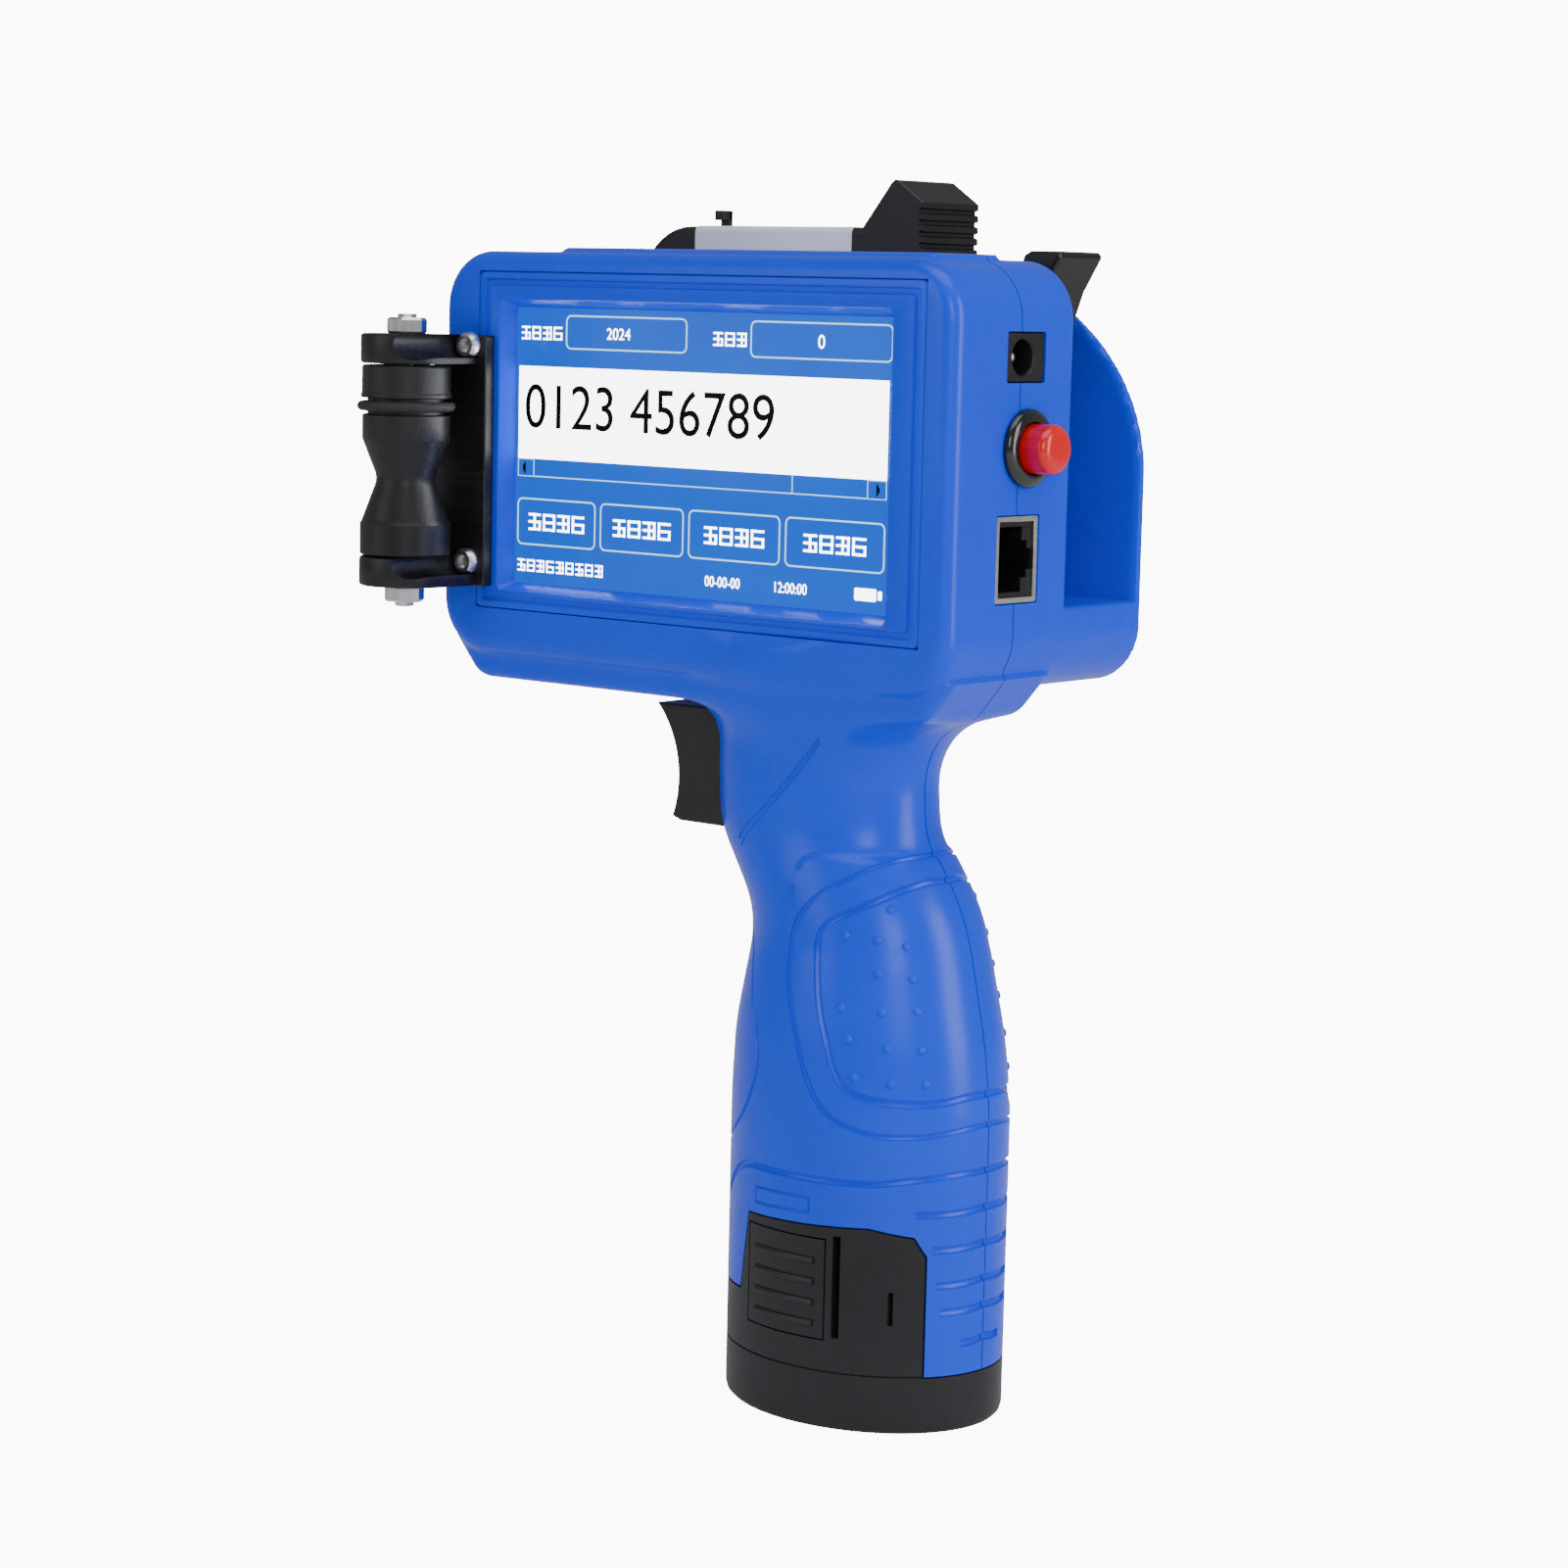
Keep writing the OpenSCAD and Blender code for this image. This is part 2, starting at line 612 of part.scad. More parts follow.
module locating_clip() color(BLACK) {
    difference() {
        block([clip_x - 3, y_fin, z_top - 24], [clip_x + 3, y_fin + 1.2, z_top - 8]);
        for (z = CLIP_SCREW_Z) rod_y(clip_x, y_fin - 1, y_fin + 2, z, 2);
    }
    for (z = CLIP_SCREW_Z) rod_y(clip_x, y_fin_in, y_fin + 2, z, 1.9);
    block([clip_x - clip_w / 2, y_fin, z_top - 9], [clip_x + clip_w / 2, y_fin + 1.2, z_top + 9.7]);
    block([clip_x - clip_w / 2, y_fin - 2, z_top + 7.7], [clip_x + clip_w / 2, y_fin + 1.2, z_top + 9.7]);
}

// ---- ink cartridge ---------------------------------------------------------

module cart_outline(inset) {
    round_rect(cart_x0 + inset, cart_z0 + 20, cart_x1 - inset, cart_z1 - inset, cart_r - inset);
    translate([cart_x0 + inset, cart_z0 + inset]) square([cart_l - 2 * inset, cart_h / 2]);
    translate([snout_x0 + nozzle_t + inset, cart_z0 + inset]) square([cart_x0 - snout_x0 + 2,
        snout_h - 2 * inset]);
}

module cartridge_body() color(BLACK) difference() {
    intersection() {
        xz(cart_y0, cart_y1) cart_outline(0);
        union() {
            block([cart_x0, cart_y0, cart_z0], [cart_x1, cart_y1, cart_z1]);
            block([snout_x0, snout_y0, cart_z0], [cart_x0 + 1, snout_y0 + snout_t, cart_z1]);
        }
    }
    // ink chamber
    xz(cart_y0 + cart_wall, cart_y1 - cart_wall)
        round_rect(cart_x0 + cart_wall, cart_z0 + cart_wall, cart_x1 - cart_wall, cart_z1 - cart_wall, 8);
}

module cartridge_grip() color(BLACK) difference() {
    xz(cart_y0, cart_y1) polygon([[cart_x1 - 15.5, cart_z1], [cart_x1 - 7.3, cart_z1 + 9.3],
        [cart_x1 - 0.8, cart_z1 + 5.2], [cart_x1, cart_z1 - 14], [cart_x1, cart_z1 - 17],
            [cart_x1 - 13, cart_z1 - 17]]);
    xz(cart_y0 - 1, cart_y1 + 1) difference() {
        cart_outline(0);
        translate([cart_x0, cart_z1 + 0.01]) square([cart_l, 1]);
    }
    for (i = [0:4]) block([cart_x1 - 1.6, cart_y0 - 1, cart_z1 - 6 + i * 2.2], [cart_x1 + 1,
        cart_y1 + 1, cart_z1 - 5 + i * 2.2]);
}

module cartridge_label() color("white") {
    for (y = [cart_y0 - 0.15, cart_y1]) xz(y, y + 0.15)
        translate([cart_x0 + 15, cart_z0 + 8]) square([40.5, cart_h - 8]);
    block([cart_x0 + 15, cart_y0 - 0.15, cart_z1], [cart_x0 + 55.5, cart_y1 + 0.15, cart_z1 + 0.15]);
}

module nozzle_plate() color([0.7, 0.55, 0.3])
    block([snout_x0, snout_y0 + 0.5, cart_z0 + 0.5], [snout_x0 + nozzle_t,
        snout_y0 + snout_t - 0.5, cart_z0 + snout_h - 0.5]);

// ---- latch -------------------------------------------------------------------

module latch_lever() color(BLACK) difference() {
    union() {
        rod_y(latch_px, latch_y0, latch_y0 + latch_w, latch_pz, 2 * latch_r);
        xz(latch_y0, latch_y0 + latch_w) polygon([[latch_px - 2.2, latch_pz + 2], [latch_px + 2,
            latch_pz - 2],
            [latch_px + 2 + lean * (latch_top - latch_pz - 8), latch_top - 8],
            [latch_px + 3 + lean * (latch_top - latch_pz), latch_top - 1],
            [latch_px + 2.6 + lean * (latch_top - latch_pz), latch_top],
            [latch_px - 4 + lean * (latch_top - latch_pz), latch_top],
            [latch_px - 6 + lean * (latch_top - latch_pz), latch_top - 2],
            [latch_px - 2 + lean * (latch_top - latch_pz - 7), latch_top - 7]]);
        // nose that holds the cartridge
        xz(latch_y0, latch_y0 + latch_w) polygon([[latch_px - 2, latch_pz + 3], [cart_x1 + gap,
            latch_pz + 7],
            [cart_x1 + gap, latch_pz + 11], [latch_px + 2, latch_pz + 15]]);
    }
    rod_y(latch_px, latch_y0 - 1, latch_y0 + latch_w + 1, latch_pz, pin_d + 2 * slip);
    // finger hollow
    translate([latch_px - 13 + lean * (latch_top - latch_pz - 6), 0, latch_top - 9]) rod_y(0,
        latch_y0 - 1, latch_y0 + latch_w + 1, 0, 20);
}

module latch_pin() color(STEEL) rod_y(latch_px, y_back - 1.3, y_fin_in + 1.1, latch_pz, pin_d);

module latch_spring() color(STEEL) {
    difference() {
        rod_y(latch_px, latch_y0 + latch_w + gap, y_fin_in - 0.1, latch_pz, pin_d + 2);
        rod_y(latch_px, latch_y0 + latch_w, y_fin_in, latch_pz, pin_d + 0.4);
    }
    block([latch_px - 0.4, latch_y0 + latch_w + gap, z_ledge + 0.02], [latch_px + 0.4,
        latch_y0 + latch_w + gap + 0.8, latch_pz - 2.1]);
}

// ---- guide roller -------------------------------------------------------------

module fork_plan() {
    translate([axle_x, axle_y]) circle(r = nose_r, $fn = 64);
    translate([axle_x - nose_r, axle_y]) square([2 * nose_r, y_face - bracket_t - axle_y + 0.5]);
}

module roller_bracket() color(BLACK) difference() {
    union() {
        block([x_print + 0.2, y_face - bracket_t, fork_z0 - fork_t], [bracket_x1, y_face,
            fork_z1 + fork_t]);
        xy(fork_z1, fork_z1 + fork_t) fork_plan();
        xy(fork_z0 - fork_t, fork_z0) fork_plan();
    }
    rod_z(axle_x, axle_y, fork_z0 - fork_t - 1, fork_z1 + fork_t + 1, axle_d + 2 * slip);
    for (z = BRACKET_SCREW_Z) rod_y(bracket_screw_x, axle_y - 20, y_face + 1, z, bracket_screw_d + 0.4);
    for (z = BRACKET_SCREW_Z) rod_y(bracket_screw_x, axle_y - 20, y_face - bracket_t, z, 6);
    // seat of the speed sensor
    block([axle_x - 3.2, y_face - bracket_t - 1, fork_z0 + 1.8], [axle_x + 3.2, y_face - 1.2,
        fork_z0 + 10.2]);
}

module bracket_screws() color(STEEL) for (z = BRACKET_SCREW_Z) difference() {
    union() {
        rod_y(bracket_screw_x, y_face - bracket_t, y_face + 6.5, z, bracket_screw_d);
        rod_y(bracket_screw_x, y_face - bracket_t - 2, y_face - bracket_t, z, 5.4);
    }
    translate([bracket_screw_x, y_face - bracket_t - 1, z]) rotate([90, 0, 0]) cylinder(h = 2,
        d = 2.9, $fn = 6);
}

module roller_axle() color(STEEL)
    rod_z(axle_x, axle_y, fork_z0 - fork_t - nut_h - 0.8, fork_z1 + fork_t + nut_h + 0.8, axle_d);

module axle_nuts() color(STEEL) for (z = [fork_z0 - fork_t - nut_h, fork_z1 + fork_t])
    translate([axle_x, axle_y, z]) difference() {
        cylinder(h = nut_h, d = nut_af / cos(30), $fn = 6);
        translate([0, 0, -1]) cylinder(h = nut_h + 2, d = axle_d + 2 * slip, $fn = 48);
    }

ROLL_Z0 = fork_z0 + gap;
ROLL_Z1 = fork_z1 - gap;

// Side of the roller from the bottom up: rim, cone, waist, cone, ring groove, rim
module guide_roller() color(BLACK) translate([axle_x, axle_y, 0]) rotate_extrude($fn = 96) difference() {
    polygon([[0, ROLL_Z0], [roller_r, ROLL_Z0], [roller_r, ROLL_Z0 + 6.3], [roller_r - 0.3,
        ROLL_Z0 + 6.6],
        [waist_r, ROLL_Z0 + 14.4], [roller_r - 0.3, ROLL_Z1 - 14.4], [roller_r - 0.3, ROLL_Z1 - 9.6],
        [roller_r - 1.3, ROLL_Z1 - 9.6], [roller_r - 1.3, ROLL_Z1 - 6.4], [roller_r, ROLL_Z1 - 6.4],
        [roller_r, ROLL_Z1 - 5.5], [roller_r - 0.2, ROLL_Z1 - 5.4], [roller_r - 0.2, ROLL_Z1], [0,
            ROLL_Z1]]);
    translate([-1, ROLL_Z0 - 1]) square([axle_d / 2 + 1 + gap, fork_gap + 2]);
    translate([-1, ROLL_Z0 - 1]) square([1 + bearing_d / 2 + slip, bearing_t + 1 + gap]);
    translate([-1, ROLL_Z1 - bearing_t - gap]) square([1 + bearing_d / 2 + slip, bearing_t + 1 + gap]);
    translate([bearing_d / 2 + 1, ROLL_Z0 - 1]) square([2.4, magnet_t + 1]);
}

module roller_bearings() color(STEEL) for (z = [ROLL_Z0 + gap, ROLL_Z1 - bearing_t - gap])
    translate([axle_x, axle_y, z]) difference() {
        cylinder(h = bearing_t, d = bearing_d, $fn = 64);
        translate([0, 0, -1]) cylinder(h = bearing_t + 2, d = axle_d + 2 * slip, $fn = 48);
    }

module roller_o_ring() color([0.05, 0.05, 0.05]) translate([axle_x, axle_y,
    ROLL_Z1 - 8]) rotate_extrude($fn = 96)
    translate([roller_r - 0.25, 0]) circle(r = 1, $fn = 32);

module encoder_magnet() color([0.3, 0.3, 0.32]) translate([axle_x, axle_y, ROLL_Z0 + 0.1]) difference() {
    cylinder(h = magnet_t - 0.15, r = bearing_d / 2 + 3.35, $fn = 64);
    translate([0, 0, -1]) cylinder(h = magnet_t + 2, r = bearing_d / 2 + 1.05, $fn = 64);
}

module encoder_sensor() color([0.05, 0.35, 0.15])
    block([axle_x - 3, y_face - bracket_t + 0.1, fork_z0 + 2], [axle_x + 3, y_face - 1.25, fork_z0 + 10]);

// ---- trigger --------------------------------------------------------------------

module trigger() color(BLACK) {
    intersection() {
        xz(-trigger_w / 2, trigger_w / 2) difference() {
            polygon([[trig_tip, trig_z1], [lip_x - 1, trig_z1], [lip_x - 1, trig_z0], [-42, trig_z0],
                [-43.5, trig_z0 + 1.2], [-43, trig_z0 + 3], [-41.8, trig_z0 + 6]]);
            translate([-61.8, trig_z0 + 8.3]) circle(r = 20.4, $fn = 96);
        }
        xy(trig_z0 - 1, trig_z1 + 1) round_rect(-trigger_w * 3, -trigger_w / 2, lip_x, trigger_w / 2, 3);
    }
    // lip that stays behind the slot's edges
    block([lip_x - 1, -trigger_w / 2 - trig_lip, trig_z0 + 2], [lip_x - 1 + lip_t,
        trigger_w / 2 + trig_lip, trig_z1 - 2]);
}

module trigger_spring() color(STEEL) difference() {
    rod_x(lip_x - 1 + lip_t + 0.05, rib_x - 0.05, 0, trig_spring_z, trig_spring_d);
    rod_x(lip_x, rib_x + 1, 0, trig_spring_z, trig_spring_d - 2 * spring_t);
}

module trigger_switch() color(BLACK) {
    block([rib_x - switch_l, -switch_w / 2, trig_z0 + 0.5], [rib_x, switch_w / 2,
        trig_z0 + 0.5 + switch_h]);
    rod_x(rib_x - switch_l - 0.8, rib_x - switch_l, 0, trig_z0 + 9, 1.6);
}

// ---- battery pack -----------------------------------------------------------------

module terminal_block() color(BLACK) difference() {
    block([-12, -9, tube_z1 + 1], [12, 9, tube_z1 + 1 + block_h]);
    for (x = [-6, 0, 6]) block([x - 1, -3.4, tube_z1], [x + 1, 3.4, tube_z1 + blade_h + 1.4]);
}

module battery_foot() color(BLACK) difference() {
    intersection() {
        xy(0, panel_top + 2) oval(grip_a, grip_b);
        xz(-40, 40) pack_outline(0);
    }
    // room above the floor, and the tube's seat
    xy(floor_t, panel_top + 3) oval(grip_a - wall, grip_b - wall);
    // seats of the release buttons
    block([button_x0 - gap, -40, button_z0 - gap], [button_x1 + gap, 40, button_z1 + gap]);
    block([button_x1 + 1.6, -40, button_z0], [button_x1 + 3.2, 40, button_z1]);
    for (p = FOOT_SCREWS) {
        rod_z(p[0], p[1], -1, floor_t + 1, screw_d + 2 * slip);
        rod_z(p[0], p[1], -1, 1.6, head_d + gap);
    }
}

FOOT_SCREWS = [for (x = [-15, 15], y = [-8, 8]) [x, y]];

module foot_screws() color(STEEL) for (p = FOOT_SCREWS) {
    rod_z(p[0], p[1], 0.4, 1.6, head_d);
    rod_z(p[0], p[1], 1.6, tube_z0 - 1.2, screw_d);
}

// Tube round the cells, with a thick floor that takes the screws and a shelf that guides the buttons
module battery_tube() color(BLACK) difference() {
    union() {
        xy(floor_t, tube_z1) round_rect(-tube_x, -tube_y, tube_x, tube_y, 5);
        intersection() {
            block([button_x0 - 1, -grip_b, button_z0 - 3], [button_x1 + 1, grip_b, button_z0 - 1.5]);
            xy(button_z0 - 4, button_z0) oval(grip_a - wall - gap, grip_b - wall - gap);
        }
    }
    xy(cell_z0, tube_z1 - 1.2) round_rect(-cell_d - gap / 2, -cell_d / 2 - gap, cell_d + gap / 2,
        cell_d / 2 + gap, 4);
    for (p = FOOT_SCREWS) rod_z(p[0], p[1], floor_t - 1, tube_z0 - 1, screw_d + 2 * slip);
    for (x = [-6, 0, 6]) block([x - 0.8 - slip, -3 - slip, tube_z1 - 2], [x + 0.8 + slip, 3 + slip,
        tube_z1 + 1]);
}

module battery_cells() color([0.2, 0.5, 0.3]) for (s = [-1, 1])
    rod_z(s * (cell_d / 2 + 0.05), 0, cell_z0, cell_z0 + cell_l, cell_d);

module battery_contacts() color([0.85, 0.65, 0.25]) for (x = [-6, 0, 6])
    block([x - 0.8, -3, cell_z0 + cell_l + 0.4], [x + 0.8, 3, tube_z1 + blade_h]);

// Ribbed press piece on the side of the foot; side is -1 or 1
module release_button(side) color(BLACK) difference() {
    intersection() {
        xy(button_z0, button_z1) oval(grip_a, grip_b);
        block([button_x0, side < 0 ? -40 : button_base, button_z0], [button_x1,
            side < 0 ? -button_base : 40, button_z1]);
    }
    for (i = [0:3]) translate([0, side * grip_b, button_z0 + 3.4 + i * 4])
        block([-20, -0.7, -0.6], [20, 0.7, 0.6]);
}

module release_button_left() release_button(-1);
module release_button_right() release_button(1);

module release_springs() color(STEEL) for (s = [-1, 1]) difference() {
    rod_y((button_x0 + button_x1) / 2, s > 0 ? tube_y + 0.05 : -button_base + 0.05,
        s > 0 ? button_base - 0.05 : -tube_y - 0.05,
        (button_z0 + button_z1) / 2, 6);
    rod_y((button_x0 + button_x1) / 2, -40, 40, (button_z0 + button_z1) / 2, 6 - 2 * spring_t);
}

front_shell();
rear_shell();
shell_screws();
screen_bezel();
touch_glass();
lcd_module();
lcd_ribbon();
main_board();
board_chips();
board_screws();
dc_jack();
dc_jack_pin();
power_bushing();
power_nut();
power_switch_body();
power_cap();
power_spring();
data_port_shell();
data_port_insert();
data_port_contacts();
print_plate();
print_plate_screws();
contact_board();
contact_pins();
locating_clip();
cartridge_body();
cartridge_grip();
cartridge_label();
nozzle_plate();
latch_lever();
latch_pin();
latch_spring();
roller_bracket();
bracket_screws();
roller_axle();
axle_nuts();
guide_roller();
roller_bearings();
roller_o_ring();
encoder_magnet();
encoder_sensor();
trigger();
trigger_spring();
trigger_switch();
terminal_block();
battery_foot();
battery_tube();
battery_cells();
battery_contacts();
foot_screws();
release_button_left();
release_button_right();
release_springs();
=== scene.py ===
# %% [markdown]
# # A hand-held date code printer, built one piece at a time
# The printer is a screen box on a pistol grip. An ink cartridge drops into an open bay behind the screen,
# a guide roller runs along the carton in front of the print end, and a battery pack slides up into the grip
# and is the foot that it stands on. The first cell loads the measured model. Every later cell makes one
# piece in its place, at its real size, and hands it to the body that it moves with.

# %% Load the measured model
import json
from math import cos, pi, radians, sin, sqrt

import bmesh
import bpy
import numpy as np
from mathutils import Matrix, Vector


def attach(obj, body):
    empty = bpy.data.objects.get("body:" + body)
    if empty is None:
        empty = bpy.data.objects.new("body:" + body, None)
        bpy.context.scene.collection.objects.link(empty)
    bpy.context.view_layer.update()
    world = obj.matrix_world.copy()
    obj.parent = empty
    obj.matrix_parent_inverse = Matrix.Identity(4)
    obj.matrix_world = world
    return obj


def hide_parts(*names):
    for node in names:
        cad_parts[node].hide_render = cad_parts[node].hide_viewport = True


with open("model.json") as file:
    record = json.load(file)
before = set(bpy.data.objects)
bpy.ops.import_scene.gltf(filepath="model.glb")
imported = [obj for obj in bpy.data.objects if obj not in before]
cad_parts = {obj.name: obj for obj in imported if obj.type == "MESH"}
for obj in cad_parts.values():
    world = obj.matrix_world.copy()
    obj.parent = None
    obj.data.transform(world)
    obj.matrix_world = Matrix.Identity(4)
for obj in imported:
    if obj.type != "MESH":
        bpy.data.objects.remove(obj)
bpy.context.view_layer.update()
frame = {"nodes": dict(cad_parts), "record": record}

MM = 0.001

# %% [markdown]
# ## Camera
# The view fixes what the printer looks like more than any material does, so the camera comes first. It stands
# to the right of the screen and a little above it, and looks slightly down: a long lens of 86 mm keeps the
# box's edges close to parallel. A camera's own axes are right, up and backwards, so its matrix is written
# from those three directions instead of from angles.

# %% Camera
YAW, PITCH, ROLL = radians(39.92), radians(7.46), radians(1.32)
CAMERA_AT = (0.43785, -0.5511, 0.2111)
FOCAL_LENGTH = 86.08
ahead = Vector((-sin(YAW) * cos(PITCH), cos(YAW) * cos(PITCH), -sin(PITCH)))
level = Vector((cos(YAW), sin(YAW), 0))
above = level.cross(ahead)
cam_x = cos(ROLL) * level + sin(ROLL) * above
cam_y = -sin(ROLL) * level + cos(ROLL) * above
lens = bpy.data.cameras.new("camera")
lens.lens, lens.sensor_width, lens.sensor_fit = FOCAL_LENGTH, 36.0, "HORIZONTAL"
lens.clip_start, lens.clip_end = 0.01, 30
camera = bpy.data.objects.new("camera", lens)
turn = Matrix((cam_x, cam_y, -ahead)).transposed()
camera.matrix_world = Matrix.Translation(CAMERA_AT) @ turn.to_4x4()
bpy.context.scene.collection.objects.link(camera)
bpy.context.scene.camera = camera
print("camera at", [round(v, 3) for v in camera.location])

# %% [markdown]
# ## Floor, backdrop and light
# Product pictures of this kind are lit by large soft sources in a white room. A wide white floor under an
# equally white world has no horizon line. Both shine far brighter when they are seen directly than when they
# light the printer, so the backdrop is white while the blue stays deep. Four area lights do the rest: a broad
# one overhead, one at the rear end that makes the blue vivid there, and two low ones, at the screen side and
# beside the camera, that fill the shade. A sheen over a curved surface is the mirror image of a lamp, so the
# size of the lamp sets the size of the highlight.

# %% Floor and backdrop
def node_material(name):
    """An empty node material with a Principled shader, and the tree's nodes and links."""
    mat = bpy.data.materials.new(name)
    mat.use_nodes = True
    return mat, mat.node_tree.nodes, mat.node_tree.links, mat.node_tree.nodes["Principled BSDF"]


FLOOR_REACH = 6.0
FLOOR_GLOW, WORLD_GLOW, WORLD_LIGHT = 10.0, 11.0, 0.30

paper, nodes, links, shader = node_material("studio_floor")
shader.inputs["Roughness"].default_value = 0.75
grain = nodes.new("ShaderNodeTexNoise")
grain.inputs["Scale"].default_value = 3
soft = nodes.new("ShaderNodeMix")
soft.data_type = "RGBA"
soft.inputs[6].default_value = (0.92, 0.92, 0.92, 1)
soft.inputs[7].default_value = (0.95, 0.95, 0.95, 1)
links.new(grain.outputs["Fac"], soft.inputs[0])
links.new(soft.outputs[2], shader.inputs["Base Color"])
# Seen directly, the floor glows like overexposed paper; it lights the printer only as plain paper does
rays = nodes.new("ShaderNodeLightPath")
glow = nodes.new("ShaderNodeMapRange")
glow.inputs["To Max"].default_value = FLOOR_GLOW
links.new(rays.outputs["Is Camera Ray"], glow.inputs["Value"])
links.new(glow.outputs[0], shader.inputs["Emission Strength"])
shader.inputs["Emission Color"].default_value = (1, 1, 1, 1)

floor_mesh = bpy.data.meshes.new("floor")
corners = [(x * FLOOR_REACH, y * FLOOR_REACH, 0) for x, y in ((-1, -1), (1, -1), (1, 1), (-1, 1))]
floor_mesh.from_pydata(corners, [], [(0, 1, 2, 3)])
floor_mesh.materials.append(paper)
floor = bpy.data.objects.new("floor", floor_mesh)
bpy.context.scene.collection.objects.link(floor)

world = bpy.data.worlds.new("studio")
world.use_nodes = True
nodes, links = world.node_tree.nodes, world.node_tree.links
nodes["Background"].inputs["Color"].default_value = (1, 1, 1, 1)
rays = nodes.new("ShaderNodeLightPath")
glow = nodes.new("ShaderNodeMapRange")
glow.inputs["To Min"].default_value = WORLD_LIGHT
glow.inputs["To Max"].default_value = WORLD_GLOW
links.new(rays.outputs["Is Camera Ray"], glow.inputs["Value"])
links.new(glow.outputs[0], nodes["Background"].inputs["Strength"])
bpy.context.scene.world = world


def softbox(name, place, target, size, power):
    """A rectangular area light at place that looks at target."""
    data = bpy.data.lights.new(name, "AREA")
    data.shape, data.size, data.size_y, data.energy = "RECTANGLE", size[0], size[1], power
    obj = bpy.data.objects.new(name, data)
    bpy.context.scene.collection.objects.link(obj)
    to = Vector(target) - Vector(place)
    obj.matrix_world = Matrix.Translation(place) @ to.to_track_quat("-Z", "Y").to_matrix().to_4x4()
    return obj


softbox("overhead", (0.3, -0.3, 1.5), (0, 0, 0.1), (1.4, 1.0), 10)
softbox("rear_side", (1.3, 0.25, 0.5), (0, 0, 0.14), (0.5, 1.0), 9)
softbox("screen_side", (-0.7, -1.4, 0.6), (0, 0, 0.15), (0.9, 0.9), 4.2)
softbox("camera_side", (0.75, -0.80, 0.50), (0, 0, 0.10), (0.35, 0.45), 2.4)

# %% [markdown]
# ## Shapes from numbers
# Three small helpers make most rigid pieces. `loft` joins rings of points, which is how a turner or a pattern
# maker thinks of a form; `turned` is a loft of circles round an axis; `rounded` gives the outline of a
# rectangle with round corners. Points are written in millimetres, because that is how the pieces are
# measured, and `piece` scales them to metres once, at the end. It also turns every face outwards and leaves
# the object at the origin, with its place in its mesh.

# %% Rings, lofts and turned forms
def arc(cx, cy, r, a0, a1, n=10):
    """A round stretch as n + 1 points, from angle a0 to a1 in degrees."""
    turns = [radians(a0 + (a1 - a0) * i / n) for i in range(n + 1)]
    return [(cx + r * cos(a), cy + r * sin(a)) for a in turns]


def rounded(w, h, r, n=8):
    """Outline of a rectangle w by h with corners of radius r, anticlockwise round the origin."""
    x, y = w / 2 - r, h / 2 - r
    corners = ((x, y), (-x, y), (-x, -y), (x, -y))
    return np.array([p for k, (cx, cy) in enumerate(corners) for p in arc(cx, cy, r, 90 * k, 90 * k + 90, n)])


def grown(outline, by, sharpest=0.4):
    """The outline moved outwards by that much, along its own normals; an acute corner moves less far."""
    pts = np.asarray(outline, float)
    a, b = pts - np.roll(pts, 1, 0), np.roll(pts, -1, 0) - pts
    a /= np.maximum(np.linalg.norm(a, axis=1), 1e-9)[:, None]
    b /= np.maximum(np.linalg.norm(b, axis=1), 1e-9)[:, None]
    na, nb = np.c_[a[:, 1], -a[:, 0]], np.c_[b[:, 1], -b[:, 0]]
    m = na + nb
    m /= np.maximum(np.linalg.norm(m, axis=1), 1e-9)[:, None]
    return pts + m * (by / np.maximum((m * na).sum(1), sharpest))[:, None]


AXES = {
    "x": lambda p, t: (t, p[0], p[1]),
    "y": lambda p, t: (p[0], t, p[1]),
    "z": lambda p, t: (p[0], p[1], t)}


def ring(outline, axis, at, centre=(0, 0)):
    """The flat outline stood across an axis at a place, as 3-D points."""
    return np.array([AXES[axis]((p[0] + centre[0], p[1] + centre[1]), at) for p in outline])


def loft(rings, closed=False):
    """Joins rings of equally many points. The ends get caps, unless the last ring joins the first again."""
    n, count, verts, faces = len(rings[0]), len(rings), np.vstack(rings), []
    for k in range(count if closed else count - 1):
        a, b = k * n, ((k + 1) % count) * n
        faces += [(a + i, a + (i + 1) % n, b + (i + 1) % n, b + i) for i in range(n)]
    if not closed:
        faces += [tuple(range(n))[::-1], tuple(range((count - 1) * n, count * n))]
    return verts, faces


def layered(outline, axis, steps, centre=(0, 0)):
    """A loft of one outline, grown and placed at each (growth, position) step."""
    return loft([ring(grown(outline, g), axis, t, centre) for g, t in steps])


def turned(profile, axis, centre, n=64, bored=True):
    """A surface of revolution from (radius, position) steps. A bored one closes on itself round its hole."""
    circle = [(cos(2 * pi * i / n), sin(2 * pi * i / n)) for i in range(n)]
    rings = [ring([(r * c, r * s) for c, s in circle], axis, t, centre) for r, t in profile]
    return loft(rings, closed=bored)


def solid_of(profile, axis, centre, n=64):
    """A turned form without a hole, with flat ends."""
    return turned(profile, axis, centre, n, bored=False)


def brick(lo, hi, r=0.3, axis="y"):
    """A block with rounded upright edges and a small chamfer at both ends of its axis."""
    lo, hi = np.array(lo, float), np.array(hi, float)
    u, v, w = {"x": (1, 2, 0), "y": (0, 2, 1), "z": (0, 1, 2)}[axis]
    mid, size = (lo + hi) / 2, hi - lo
    out = rounded(size[u], size[v], max(r, 0.02), 4)
    k = r * 0.45
    return layered(out, axis, [(-k, lo[w]), (0, lo[w] + k), (0, hi[w] - k), (-k, hi[w])], (mid[u], mid[v]))


